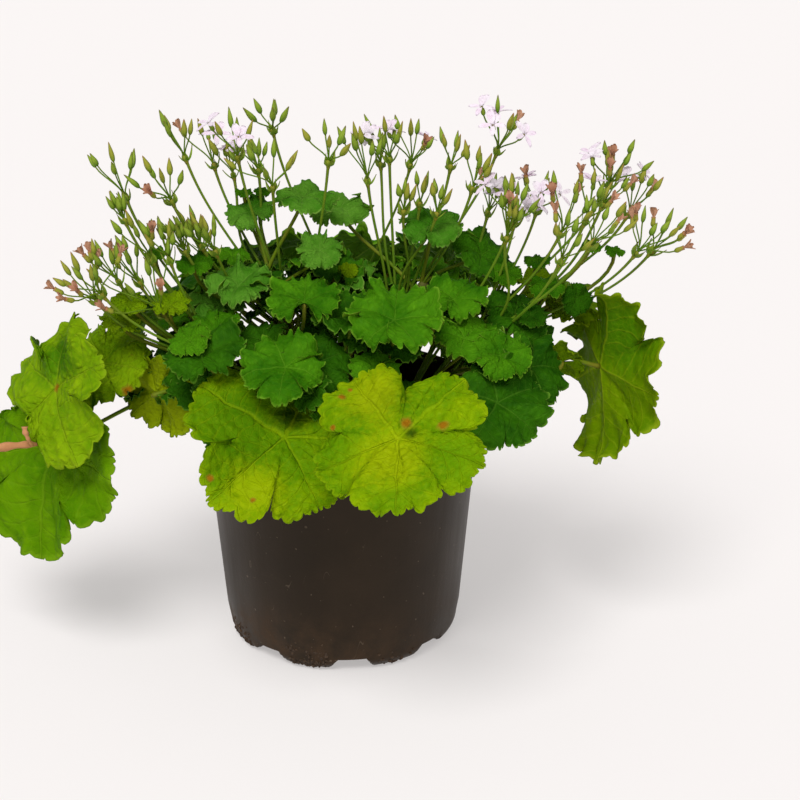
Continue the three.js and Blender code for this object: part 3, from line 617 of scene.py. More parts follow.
# Leaf skins: base, deep, vein and glow colours, and how coarse, from 0 for the smooth small leaves, which
# have a pale rim, to 1 for the large crinkled ones
LEAF_COLOURS = {
    "lime": ((0.34, 0.50, 0.001), (0.085, 0.235, 0.0), (0.46, 0.58, 0.006), (0.5, 0.75, 0.002), 1.0),
    "fresh": ((0.34, 0.52, 0.004), (0.12, 0.28, 0.001), (0.44, 0.58, 0.02), (0.48, 0.72, 0.003), 0.8),
    "spring": ((0.17, 0.35, 0.001), (0.065, 0.20, 0.0), (0.28, 0.46, 0.015), (0.4, 0.7, 0.003), 0.7),
    # The top, mid and dark skins are lit, middle and shaded copies of one green: dark is painted shade for
    # leaves deep in the plant and under others, and top is painted light, its blue a painted sky reflection.
    "top": ((0.18, 0.42, 0.04), (0.035, 0.17, 0.003), (0.30, 0.52, 0.08), (0.34, 0.65, 0.01), 0.0),
    "mid": ((0.12, 0.36, 0.006), (0.020, 0.12, 0.001), (0.24, 0.48, 0.03), (0.28, 0.6, 0.004), 0.0),
    "dark": ((0.062, 0.23, 0.004), (0.009, 0.060, 0.001), (0.17, 0.36, 0.03), (0.17, 0.45, 0.002), 0.0),
    "olive": ((0.20, 0.34, 0.001), (0.09, 0.19, 0.0), (0.30, 0.40, 0.01), (0.4, 0.58, 0.002), 0.5),
    "underside": ((0.20, 0.33, 0.001), (0.10, 0.21, 0.0), (0.30, 0.40, 0.01), (0.42, 0.55, 0.002), 0.0),
    "underside pale": ((0.11, 0.25, 0.003), (0.06, 0.17, 0.001), (0.22, 0.36, 0.03), (0.3, 0.55, 0.005), 0.0),
}


def leaf_material(name, base, deep, vein, glow, coarse):
    """A leaf's skin: deep green in random patches, painted shade in the hollows between puckers, patches of
    painted shade and painted light, light veins and margin, lit through from behind.
    """
    made, n, surface = material(f"leaf {name}")
    under = name.startswith("underside")
    place = n.place()
    p = n.group(LEAF_PATTERN, UV=n.pattern(), Place=place)
    colour = n.mix(n.times(p["Patch"], 0.8), deep, base)
    colour = n.mix(n.times(p["Mottle"], 0.2 + 0.25 * coarse), colour, base)
    # Painted shade: the hollows between the puckers are darkened towards the deep green.
    colour = n.mix(n.times(n.minus(1.0, p["Pucker"]), 0.35), colour, deep)
    # Painted shade and painted light: soft patches of their own colour.
    for centre, size, tint, strength in PAINTED_SHADE_AND_LIGHT_PATCHES.get(name, ()):
        spot = n.group(SPOT_SHADE_AND_LIGHT_MASK, Place=place, Centre=centre, Size=size)
        colour = n.mix(n.times(spot["Soft"], strength), colour, tint)
    colour = n.mix(n.times(p["Vein"], 0.55 if under else 0.14 + 0.06 * coarse), colour, vein)
    colour = n.mix(n.times(p["Net"], 0.16 if under else 0.03 + 0.06 * coarse), colour, vein)
    colour = n.mix(n.times(p["Margin"], 0.7 - 0.5 * coarse), colour, vein)
    for centre, size in SPOTS.get(name, ()):
        spot = n.group(SPOT_SHADE_AND_LIGHT_MASK, Place=place, Centre=centre, Size=size)
        colour = n.mix(n.times(spot["Rim"], 0.7), colour, SPOT_RIM)
        colour = n.mix(n.times(spot["Spot"], 0.85), colour, SPOT_MIDDLE)
    height = n.times(p["Height"], -1.0) if under else p["Height"]
    bump = n.bump(height, 0.85, 0.0008 + 0.0011 * coarse)
    skin = n.skin(colour, n.ramp(p["Pucker"], 0.0, 1.0, 0.62, 0.45), bump, 0.03)
    n.put(surface, n.lit_through(skin, 0.28, n.mix(0.5, colour, glow), bump))
    return made


def stalk_material(name, base, other, tint, grain=260.0, rough=0.55):
    """A green stem: streaks and blotches of a second colour, and a tint that comes in towards V = 1."""
    made, n, surface = material(name)
    place, uv = n.place(), n.split(n.pattern())
    blotch = n.ramp(n.noise(place, 90.0, 3.0, 0.65), 0.35, 0.7)
    streak = n.stretched(place, (900.0, 900.0, 120.0), 2.0)
    colour = n.mix(n.times(blotch, 0.6), base, other)
    colour = n.mix(n.times(streak, 0.25), colour, tuple(0.55 * c for c in base))
    colour = n.mix(n.times(n.ramp(uv["Y"], 0.75, 1.0), 0.35), colour, tint)
    n.put(surface, n.skin(colour, rough, n.bump(n.noise(place, grain, 3.0), 0.3, 0.0006), 0.1))
    return made


def bud_material(name, low, mid, tip):
    """A bud: its colour runs from base to tip along V, with ribs round U."""
    made, n, surface = material(name)
    place, uv = n.place(), n.split(n.pattern())
    along = n.plus(uv["Y"], n.times(n.minus(n.noise(place, 160.0, 3.0), 0.5), 0.35))
    ribs = n.math("ABSOLUTE", n.math("SINE", n.times(uv["X"], 5 * np.pi)))
    colour = n.mix(n.ramp(along, 0.1, 0.55), low, mid)
    colour = n.mix(n.ramp(along, 0.66, 1.0), colour, tip)
    colour = n.mix(n.times(ribs, 0.22), colour, low)
    n.put(surface, n.skin(colour, 0.55, n.bump(ribs, 0.5, 0.0004), 0.12))
    return made


def petal_material(name, pale, marked, mark, glow):
    """A petal: pale, with a blush and fine dark dashes that run out along V from its narrow end."""
    made, n, surface = material(name)
    place, uv = n.place(), n.split(n.pattern())
    blush = n.ramp(n.noise(place, 70.0), 0.35, 0.65)
    colour = n.mix(n.times(blush, 0.6), pale, marked)
    lines = n.ramp(n.math("ABSOLUTE", n.math("SINE", n.times(uv["X"], 22.0))), 0.0, 0.35, 1.0, 0.0)
    where = n.times(n.ramp(uv["Y"], 0.15, 0.4), n.ramp(uv["Y"], 0.55, 0.8, 1.0, 0.0))
    dashes = n.times(lines, n.times(where, n.ramp(n.noise(place, 500.0, 1.0), 0.45, 0.6)))
    colour = n.mix(n.times(dashes, 0.85), colour, mark)
    skin = n.skin(colour, 0.6, n.bump(n.noise(place, 600.0, 3.0), 0.3, 0.0004), 0.2)
    n.put(surface, n.lit_through(skin, 0.3, n.mix(0.4, colour, glow)))
    return made


def pot_material():
    """Moulded dark plastic: faint waves, specks, pale hairs, and soil dust that thickens low and left."""
    made, n, surface = material("pot plastic")
    place = n.place()
    part = n.split(place)
    cloud = n.noise(place, 14.0, 4.0, 0.6)
    streaks = n.stretched(place, (60.0, 60.0, 6.0), 3.0, 0.6)
    patchy = n.ramp(n.noise(place, 60.0, 5.0, 0.7), 0.3, 0.75)
    dust = n.times(n.ramp(part["Z"], 0.002, 0.05, 1.0, 0.0), patchy)
    dust = n.times(dust, n.ramp(part["X"], -0.07, 0.06, 1.0, 0.35))
    specks = n.ramp(n.noise(place, 330.0, 1.0, 0.4), 0.74, 0.79)
    specks = n.times(n.ramp(part["Z"], 0.0, 0.16, 1.0, 0.3), specks)
    hair = n.math("ABSOLUTE", n.minus(n.stretched(place, (170.0, 170.0, 60.0), 0.0), 0.5))
    hair = n.times(n.ramp(hair, 0.0, 0.006, 1.0, 0.0), n.ramp(n.noise(place, 55.0, 1.0), 0.66, 0.70))
    marks = n.math("MAXIMUM", specks, n.times(hair, 0.7))
    colour = n.mix(n.ramp(cloud, 0.35, 0.7), (0.011, 0.0058, 0.0025), (0.018, 0.0100, 0.0050))
    colour = n.mix(dust, colour, (0.058, 0.030, 0.014))
    colour = n.mix(n.times(marks, 0.5), colour, (0.16, 0.12, 0.085))
    rough = n.plus(n.ramp(streaks, 0.3, 0.7, 0.36, 0.47), n.times(dust, 0.3))
    height = n.plus(n.times(streaks, 0.5), n.times(n.noise(place, 700.0, 3.0, 0.6), 0.12))
    bump = n.bump(n.plus(height, n.times(dust, 0.2)), 0.35, 0.0012)
    n.put(surface, n.skin(colour, rough, bump, 0.24, (1.0, 0.86, 0.68)))
    return made


def soil_material(name, dark, brown):
    """Peaty soil: dark brown crumbs with lighter fibres and grit."""
    made, n, surface = material(name)
    place = n.place()
    crumbs = n.node("ShaderNodeTexVoronoi", {"Vector": place, "Scale": 320.0}).outputs[0]
    fibre = n.ramp(n.stretched(place, (900.0, 160.0, 400.0), 4.0), 0.62, 0.7)
    colour = n.mix(n.noise(place, 150.0, 4.0), dark, brown)
    colour = n.mix(n.times(fibre, 0.6), colour, (0.17, 0.11, 0.06))
    n.put(surface, n.skin(colour, 0.95, n.bump(crumbs, 1.0, 0.003)))
    return made


LEAF_SKINS = {name: leaf_material(name, *row) for name, row in LEAF_COLOURS.items()}
STALK = stalk_material("flower stalk", (0.10, 0.20, 0.008), (0.17, 0.23, 0.012), (0.17, 0.17, 0.02))
PETIOLE = stalk_material("petiole", (0.12, 0.20, 0.006), (0.20, 0.18, 0.015), (0.22, 0.14, 0.02))
STEM = stalk_material("woody stem", (0.13, 0.15, 0.03), (0.16, 0.10, 0.045), (0.15, 0.17, 0.03), 160.0, 0.75)
DRIED = stalk_material("dried stalk", (0.52, 0.24, 0.11), (0.38, 0.17, 0.06), (0.30, 0.20, 0.03), rough=0.75)
NODE = stalk_material("umbel node", (0.21, 0.26, 0.02), (0.30, 0.20, 0.03), (0.30, 0.20, 0.03))
BUD = bud_material("bud", (0.13, 0.24, 0.015), (0.24, 0.33, 0.03), (0.17, 0.11, 0.03))
BUD_WARM = bud_material("bud warm", (0.20, 0.27, 0.02), (0.30, 0.29, 0.035), (0.36, 0.14, 0.07))
PETAL = petal_material("petal", (0.93, 0.87, 0.92), (0.86, 0.68, 0.83), (0.36, 0.03, 0.22),
                       (0.95, 0.88, 0.95))
SPENT = petal_material("spent petal", (0.60, 0.33, 0.20), (0.40, 0.18, 0.10), (0.22, 0.07, 0.05),
                       (0.8, 0.42, 0.25))
POT = pot_material()
SOIL = soil_material("potting soil", (0.016, 0.009, 0.005), (0.06, 0.033, 0.017))
CRUST = soil_material("dried soil crust", (0.014, 0.008, 0.004), (0.10, 0.055, 0.027))

# How thick the petioles are for each look of leaf, and the looks of the drawn plant's own small leaves
PETIOLE_RADII = {"lime": 1.4, "fresh": 1.3, "spring": 1.3, "top": 1.1, "mid": 1.1, "dark": 1.0, "olive": 1.3}
SHOOT_LOOKS = ("mid", "dark", "top", "fresh", "olive")


# Pot and soil


def channel_roof(x, y, extra):
    """Height of the drainage channels' roof over each place of the pot's foot, or nothing between them.

    Each channel is a trapezoid in section and starts some way from the middle.
    """
    turn = np.degrees(np.arctan2(x, -y)) - CHANNEL_TURN
    across_turn = np.radians((turn + 180 / CHANNELS) % (360 / CHANNELS) - 180 / CHANNELS)
    radius = np.hypot(x, y)
    across = np.abs(radius * np.sin(across_turn))
    slope = (CHANNEL_WIDE / 2 + extra - across) / ((CHANNEL_WIDE - CHANNEL_TOP) / 2)
    start = (radius - CHANNEL_START + extra) / 1.5
    return (CHANNEL_HIGH + extra) * np.clip(np.minimum(slope, start), 0, 1)


def corner(inset, floor, steps):
    """The rounded foot edge, from the floor to the wall, as radius and height."""
    angle = np.linspace(0, np.pi / 2, steps)
    radius = FOOT_ROUND - inset
    out, up = POT_FOOT - FOOT_ROUND + radius * np.sin(angle), floor + radius - radius * np.cos(angle)
    return np.stack([out, up], -1)


def wall_radius(height):
    """The outside radius of the tapered wall at a height."""
    return POT_FOOT + (POT_TOP - POT_FOOT) * height / POT_HEIGHT


def make_pot():
    """One closed skin: a profile turned about Z, its floor raised over the channels, which leave notches."""
    foot = POT_FOOT - FOOT_ROUND
    floor_out = np.stack([np.linspace(2, foot, 14), np.zeros(14)], -1)
    heights = np.linspace(FOOT_ROUND, POT_HEIGHT - LIP_HEIGHT, 16)[1:]
    wall_out = np.stack([wall_radius(heights), heights], -1)
    lip, low_lip = POT_TOP + LIP_OUT, POT_HEIGHT - LIP_HEIGHT
    rolled_lip = np.array([
        [wall_radius(low_lip) + 0.3, low_lip - 0.2], [lip - 1.3, low_lip], [lip - 0.3, low_lip + 0.5],
        [lip, low_lip + 1.4], [lip, POT_HEIGHT - 1.6], [lip - 0.35, POT_HEIGHT - 0.5],
        [lip - 1.2, POT_HEIGHT], [POT_TOP - WALL + 0.9, POT_HEIGHT],
        [POT_TOP - WALL + 0.2, POT_HEIGHT - 0.5],
    ])
    heights = np.linspace(POT_HEIGHT - 2, FOOT_ROUND, 12)
    wall_in = np.stack([wall_radius(heights) - WALL, heights], -1)
    floor_in = np.stack([np.linspace(foot, 2, 14), np.full(14, FLOOR)], -1)
    outside = np.concatenate([floor_out, corner(0, 0, 12)[1:], wall_out, rolled_lip])
    profile = np.concatenate([outside, wall_in, corner(WALL, FLOOR, 8)[-2::-1], floor_in[1:]])
    angle = even_turns(POT_SIDES)
    x, y = around_z(profile[:, :1], angle)
    inside = np.arange(len(profile))[:, None] >= len(outside)
    roof = np.where(inside, channel_roof(x, y, WALL), channel_roof(x, y, 0))
    z = np.maximum(np.repeat(profile[:, 1:], POT_SIDES, 1), roof)
    # The thin wall is a little out of round, most near the lip.
    swell = (1 + 0.0035 * np.sin(2 * angle + 0.6) * (z / POT_HEIGHT) ** 2
             + 0.0012 * np.sin(5 * angle) * z / POT_HEIGHT)
    parts = Parts()
    parts.add_rings(np.stack([x * swell, y * swell, z], -1))
    return parts.write("pot_skin", [POT], sharp=50)


def make_crust():
    """Crumbs of soil round the pot's foot: small lumpy balls half in its skin, most at the front left.

    Most lie on the rounded edge, and those at its top reach up the wall. None is left over a channel, or so
    low that it would pass through the floor.
    """
    random = np.random.default_rng(CRUST_SEED)
    parts = Parts()
    rings, sides = 5, 7
    turns = even_turns(sides)
    up = np.linspace(0.12, np.pi - 0.12, rings)[:, None]
    ball = np.stack([np.sin(up) * np.cos(turns), np.sin(up) * np.sin(turns), np.cos(up) + 0 * turns], -1)
    for _ in range(CRUMBS):
        turn = np.radians(CRUST_TURN + CRUST_SPREAD * random.normal())
        tilt = np.pi / 2 * random.uniform(0.18, 1.0) ** 0.8
        rise = abs(random.normal(0, 7)) if tilt > 1.3 else 0.0
        out = POT_FOOT - FOOT_ROUND + FOOT_ROUND * np.sin(tilt) - 0.15
        x, y = around_z(out + rise * (POT_TOP - POT_FOOT) / POT_HEIGHT, turn)
        z = FOOT_ROUND * (1 - np.cos(tilt)) + rise
        size = random.uniform(*CRUMB_SIZES)
        if channel_roof(x, y, 1.0) > 0 or z < 1.7 * size + 0.2:
            continue
        lumps = 1 + random.normal(0, 0.14, (rings, sides, 1))
        parts.add_rings(np.array([x, y, z]) + ball * lumps * size * random.uniform(0.7, 1.3, 3), flip=True)
    return parts.write("pot_crust", [CRUST])


def make_soil():
    """A low crumbly mound inside the pot: height falls with the square of the radius, under noise."""
    sides = 160
    reach = np.linspace(0.02, 1, 60)[:, None]
    angle = even_turns(sides)
    x, y = around_z((wall_radius(SOIL_TOP) - WALL - SOIL_GAP) * reach, angle)
    flat = np.stack([x, y], -1)
    bumps = 1.1 * ripple(flat, 3, 11.0) + 0.6 * ripple(flat, 4, 4.5) + 0.35 * ripple(flat, 5, 2.2)
    top = SOIL_TOP + SOIL_CROWN * (1 - reach**2) - 1.2 + bumps * (1 - reach**8)
    low = np.array([(wall_radius(h) - WALL - SOIL_GAP, h) for h in (90, 40, 12)] + [(20.0, 9.0)])
    under = np.stack([*around_z(low[:, :1], angle), np.repeat(low[:, 1:], sides, 1)], -1)
    parts = Parts()
    parts.add_rings(np.concatenate([np.stack([x, y, top + 0 * x], -1), under]), flip=True)
    return parts.write("soil_mound", [SOIL])


def make_stem(name):
    """A main stem: a rod along its curve, swollen at its joints and a little lumpy."""
    at = np.linspace(0, 1, 60)
    radii = STEM_RADII[0] + (STEM_RADII[1] - STEM_RADII[0]) * at
    radii = radii * (1 + 0.16 * np.maximum(0, np.sin(at * 34)) ** 6 - 0.05)
    parts = Parts()
    tube(parts, bezier(STEMS[name], at), radii, 16, 0,
         lambda turn, along: 1 + 0.05 * np.sin(3 * turn + 9 * along) + 0.03 * np.sin(5 * turn - 40 * along))
    return parts.write(f"main_stem_{name}", [STEM])


# Leaves


def blade_frame(faces):
    """The blade's tip, side and face directions: the tip points downhill, turned by the last angle."""
    face = aim(faces[0], faces[1])
    tip = turned(unit(-UP + face * face[2]), face, np.radians(faces[2]))
    return tip, np.cross(tip, face), face


def bent(along, height, radius, turn):
    """Rolls points down over a cylinder on which one radius of blade turns through the given angle."""
    reach = radius / (turn if abs(turn) >= 0.01 else 0.01)
    arc = along / reach
    return (reach + height) * np.sin(arc), (reach + height) * np.cos(arc) - reach


def rounded(v, power):
    """How far a round arc has fallen away: 0 in its middle and 1 at its ends, where v is -1 or 1."""
    return 1 - np.sqrt(np.maximum(0, 1 - np.abs(v) ** power))


def scallop(x):
    """Round bumps one unit wide with a sharp notch at each whole number: 0 on the bump, 1 in the notch."""
    return rounded(2 * (x - np.floor(x)) - 1, 2.5)


class Leaf:
    """One leaf's place, frame and shape, and the points of its blade."""

    def __init__(self, row, index, teeth):
        self.name, self.stem, self.at, meets, faces, shape, self.look = row
        self.teeth = teeth
        self.meets = np.array(meets, float)
        self.tip, self.side, self.face = blade_frame(faces)
        self.radius, self.droop, self.arch, self.ruffle = shape[:4]
        self.sinus = shape[4] if len(shape) > 4 else SINUS
        self.phase = GOLDEN * index
        self.seed = LEAF_SEED + index
        random = np.random.default_rng(self.seed)
        # The larger a leaf is, from a radius of 20 to 50 mm, the flatter and less cut it is.
        large = np.clip((self.radius - 20) / 30, 0, 1)
        folds = random.uniform(0.06, 0.2, 4) * random.choice((-1, 1), 4)
        lengths, shifts = random.uniform(-0.06, 0.06, 5), random.uniform(-0.1, 0.1, 4)
        own = (lengths, shifts, folds, 0.26 - 0.07 * large)
        self.lengths, self.shifts, self.folds, self.notch = map(np.array, LOBES.get(self.name, own))
        self.bite = 0.095 - 0.04 * large
        self.cup = 0.52 - 0.38 * large
        self.pleat = 0.15 - 0.08 * large
        self.frill = self.ruffle * (1.3 - 0.1 * large)

    def surface(self, lobe, reach, lift):
        """Points of the blade: lobe runs from 0 to 5 round it, reach from the middle, lift off its mid skin.

        The edge's radius is the lobes' outline, notched by small lobes and teeth. Between two lobes the skin
        folds back under its neighbour: the angle runs back there while the height drops. The height is a
        funnel, pleated down along the main veins, puckered between them and frilled more towards the edge.
        """
        half = np.pi - self.sinus / 2
        bounds = np.arange(6) + np.concatenate([[0], self.shifts, [0]])
        angle = (np.interp(lobe, np.arange(6), bounds) - 2.5) * half / 2.5
        which = np.minimum(np.floor(lobe), 4).astype(int)
        vein = lobe - which - 0.5
        turn = (0.05 * np.sin(2.3 * angle + self.phase) + 0.035 * np.sin(5.1 * angle + 2 * self.phase)
                + 0.02 * np.sin(13 * angle + 3 * self.phase) + 0.01 * np.sin(29 * angle + self.phase))
        step = 0 * angle
        for boundary, fold in enumerate(self.folds, 1):
            x = np.clip((lobe - boundary) / 0.42, -1, 1)
            near = np.sin(np.pi * x) * (0.5 + 0.5 * np.cos(np.pi * x))
            turn = turn - abs(fold) * near * np.minimum(1, 1.3 * reach) ** 1.5
            step = step - np.sign(fold) * 0.12 * near
        beside = np.maximum(0, np.abs(lobe / 2.5 - 1) * 5 - 4)
        step = step + 0.07 * np.sign(lobe - 2.5) * beside * (3 - 2 * beside) * beside
        lobes = 1 - self.notch * rounded(2 * vein, 4)
        lobes = lobes * (1 - 0.14 * (angle / np.pi) ** 2 - 0.3 * beside**3)
        lobes = lobes * (1 + self.lengths[which] * (1 - np.abs(2 * vein) ** 2))
        small = 1 - 0.05 * scallop(3 * lobe)
        uneven = 0.75 + 0.25 * np.sin(17 * angle + self.phase)
        teeth = 1 - self.bite * uneven * scallop(self.teeth * lobe)
        outline = 1 + (lobes - 1) * reach**2 + (small - 1) * reach**5 + (teeth - 1) * reach**9
        spread = self.radius * reach * outline
        angle = angle + turn
        flat = np.stack([reach * np.cos(angle), reach * np.sin(angle)], -1)
        funnel = self.cup * (reach - 0.6 * reach**3)
        pleat = -self.pleat * reach * np.cos(2 * np.pi * vein) * (1 - 0.3 * reach)
        frill = self.frill * (
            0.4 * reach**3 * np.sin(6 * angle + self.phase)
            + 0.45 * reach**5 * np.sin(11 * angle + 1.7 * self.phase + 1.5 * np.sin(2 * angle))
            + 0.45 * reach**8 * np.sin(23 * angle - self.phase + 2 * np.sin(3 * angle))
        )
        crumple = 0.045 * ripple(flat, self.seed, 0.8) * reach + 0.01 * ripple(flat, self.seed + 50, 0.24)
        wave = self.radius * (funnel + pleat + step * reach**2 + frill + crumple * reach)
        ahead, fall = bent(spread * np.cos(angle), wave + lift, self.radius, self.droop)
        across, height = bent(spread * np.sin(angle), fall, self.radius, self.arch)
        return (self.meets + across[..., None] * self.side + ahead[..., None] * self.tip
                + height[..., None] * self.face)

    def add_blade(self, parts, columns, rows, slots):
        """A closed thin blade: an upper and a lower skin from one grid, walled at the edge and the sinus."""
        lobe = np.linspace(0, 5, columns + 1)[None, :]
        steps = np.linspace(0, 1, rows + 1)[1:]
        reach = (1 - (1 - steps) ** 1.35)[:, None]
        both = []
        for lift in (BLADE_THICK / 2, -BLADE_THICK / 2):
            skin = self.surface(lobe + 0 * reach, reach + 0 * lobe, lift).reshape(-1, 3)
            both += [self.surface(np.full(1, 2.5), np.zeros(1), lift), skin]
        even = (lobe - 2.5) * VEIN_TURN
        flat = 0.5 + 0.5 * np.stack([reach * np.cos(even), reach * np.sin(even)], -1).reshape(-1, 2)
        flat = np.concatenate([[[0.5, 0.5]], flat])
        count, width = len(flat), columns + 1
        quads = 1 + grid_faces(rows, width)
        ring = 1 + np.arange(columns)
        fan = np.stack([0 * ring, ring + 1, ring], -1)
        left = np.concatenate([[0], 1 + np.arange(rows) * width])
        right = np.concatenate([[0], columns + 1 + np.arange(rows) * width])
        walls = [wall(1 + (rows - 1) * width + np.arange(width), count), wall(left, count),
                 wall(right, count, flip=True)]
        faces = [quads, fan, *walls, quads[:, ::-1] + count, fan[:, ::-1] + count]
        parts.add(np.concatenate(both), np.concatenate([flat, flat]), faces, [slots[0]] * 5 + [slots[1]] * 2)

    def add_petiole(self, parts, slot, sides, steps):
        """The leaf's stalk: from its stem to just under the blade's middle, thicker at both ends."""
        start = bezier(STEMS[self.stem], self.at)
        arrival = unit(self.face + 0.3 * self.tip)
        at = np.linspace(0, 1, steps)
        path = bezier(stalk_curve(start, self.meets - 0.5 * self.face, arrival), at)
        radii = PETIOLE_RADII[self.look] * (0.92 + 0.35 * (1 - at) ** 6 + 0.3 * at**12)
        tube(parts, path, radii, sides, slot, lambda turn, along: 1 - 0.1 * np.maximum(0, np.cos(turn)) ** 4)


def add_leaf(parts, row, index, slots, grid, sides=9, steps=28):
    """Puts one leaf's blade and petiole into a mesh."""
    teeth, columns, rows = grid
    leaf = Leaf(row, index, teeth)
    leaf.add_blade(parts, 5 * teeth * columns, rows, slots)
    leaf.add_petiole(parts, slots[2], sides, steps)


def make_leaf(row, index):
    """A leaf as one piece: blade and petiole, finer for larger leaves."""
    radius, look = row[5][0], row[6]
    grid = next(grid for least, *grid in LEAF_GRIDS if radius >= least)
    parts = Parts()
    add_leaf(parts, row, index, (0, 1, 2), grid)
    under = LEAF_SKINS["underside" if look == "olive" else "underside pale"]
    return parts.write(f"leaf_blade_{row[0]}", [LEAF_SKINS[look], under, PETIOLE])


def nearest_stem(point):
    """The main stem, and the place along it, that lies nearest below a point."""
    best = None
    for name, corners in STEMS.items():
        at = np.linspace(0.35, 1, 14)
        path = bezier(corners, at)
        away = np.linalg.norm(path - point, axis=1) + 60 * (path[:, 2] > point[2] - 25)
        k = int(np.argmin(away))
        if best is None or away[k] < best[0]:
            best = (away[k], name, float(at[k]))
    return best[1:]


def mound_leaves():
    """Rows for the smaller leaves that fill the mound.

    They are spread by the golden angle over a dome, some way inside it, and face out and up.
    """
    random = np.random.default_rng(MOUND_SEED)
    rows = []
    for k in range(MOUND_LEAVES):
        azimuth = np.degrees(GOLDEN) * k + random.normal(0, 8)
        elevation = 8 + 76 * (k + 0.5) / MOUND_LEAVES + random.normal(0, 4)
        inward = random.uniform(0.7, 1.0)
        way = aim(azimuth, elevation)
        point = np.array(MOUND_MIDDLE) + np.array(MOUND_RADII) * way * inward
        faces = (azimuth + random.normal(0, 28), 46 + 0.35 * elevation + random.normal(0, 12),
                 random.normal(0, 90))
        # The radius, droop, side arch and ruffle
        shape = [random.uniform(*bounds) for bounds in ((11, 21), (-0.3, 0.6), (-0.3, 0.45), (0.1, 0.16))]
        # Painted shade: leaves set deep inside the dome take the shaded dark green, as does a random quarter
        # of the rest. Of the others, most take the middle green and some the lit top green.
        if inward < 0.84 or random.random() < 0.25:
            look = "dark"
        else:
            look = "mid" if random.random() < 0.7 else "top"
        stem, at = nearest_stem(point)
        rows.append((f"mound_{k}", stem, at, tuple(point), faces, shape, look))
    return rows


def make_shoots(rows):
    """The drawn plant's own small leaves, gathered into one piece for each main stem."""
    pieces = []
    under = len(SHOOT_LOOKS)
    skins = [*(LEAF_SKINS[look] for look in SHOOT_LOOKS), LEAF_SKINS["underside pale"], PETIOLE]
    for stem in STEMS:
        parts = Parts()
        for index, row in enumerate(rows, OWN_LEAVES):
            if row[1] == stem:
                slots = (SHOOT_LOOKS.index(row[6]), under, under + 1)
                add_leaf(parts, row, index, slots, SMALL_GRID, sides=6, steps=14)
        pieces.append(parts.write(f"shoot_leaves_{stem}", skins))
    return pieces


def make_dried_stalk():
    """A withered stalk with a side branch, across the lowest left leaf: flat rods that narrow inwards."""
    parts = Parts()
    at = np.linspace(0, 1, 16)
    for corners, thick in DRIED_RUNS:
        radii = thick * (1 - 0.65 * at) * (1 + 0.2 * np.sin(19 * at + thick))
        tube(parts, bezier(corners, at), radii, 10, 0,
             lambda turn, along: 1 - 0.35 * np.abs(np.sin(1.5 * turn + 3 * along)))
    return parts.write("dried_stalk", [DRIED])


# Flower stalks


def pointed(parts, start, way, length, radius, slot, sides=8, outline="bud"):
    """A bud or other pointed body on an axis: a tube whose radius follows its outline."""
    at, radii = map(np.array, OUTLINES[outline])
    path = start + at[:, None] * length * way
    tube(parts, path, radii * radius, sides, slot, lambda turn, along: 1 + 0.1 * np.cos(5 * turn))


def bract(parts, start, way, up, length, width, slot, blunt=False):
    """A small leaf or petal: a closed lens, pointed and widest low down, or blunt and widest near its tip."""
    rows, columns = 6, 4
    t = np.linspace(0, 1, rows)[:, None]
    across = np.linspace(-1, 1, columns)[None, :]
    aside = unit(np.cross(way, up))
    lifted = unit(np.cross(aside, way))
    if blunt:
        shape = np.sin(np.pi * (0.06 + 0.86 * t**1.3)) ** 0.7
    else:
        shape = np.sin(np.pi * np.minimum(1, 0.12 + t**0.7)) ** 0.8
    half = width * np.maximum(shape, 0.04)
    skins = []
    for thick in (0.22, -0.22):
        body = thick * (1 - across**2) * np.sin(np.pi * np.clip(t, 0.05, 0.95)) + 0.25 * width * across**2
        curve = -0.25 * length * t**2
        skins.append(start + t[..., None] * length * way + (across * half)[..., None] * aside
                     + (body + curve)[..., None] * lifted)
    flat = np.stack(np.broadcast_arrays(0.5 + 0.5 * across, t), -1).reshape(-1, 2)
    count = rows * columns
    quads = grid_faces(rows, columns)
    left, low = np.arange(rows) * columns, np.arange(columns)
    right, top = left + columns - 1, low + count - columns
    walls = [wall(right, count), wall(top[::-1], count), wall(left, count, flip=True),
             wall(low[::-1], count, flip=True)]
    parts.add(skins, np.concatenate([flat, flat]), [quads, quads[:, ::-1] + count, *walls], slot)


def flower(parts, centre, facing, size, random, slot, closed=0.0):
    """Five narrow petals round an axis: two wider upper ones and three lower; closed pulls them forward."""
    level = unit(np.cross(facing, UP + 0.01))
    high = np.cross(level, facing)
    for angle, wide in ((-0.35, 1.25), (0.35, 1.25), (1.75, 0.8), (-1.75, 0.8), (3.14, 0.85)):
        angle += random.normal(0, 0.12)
        out = high * np.cos(angle) + level * np.sin(angle)
        way = unit(out * (1 - closed) + facing * (0.35 + closed + random.normal(0, 0.12)))
        length = size * random.uniform(0.85, 1.1)
        bract(parts, centre + out * 0.4, way, facing + 0.01, length, size * 0.25 * wide, slot, blunt=True)


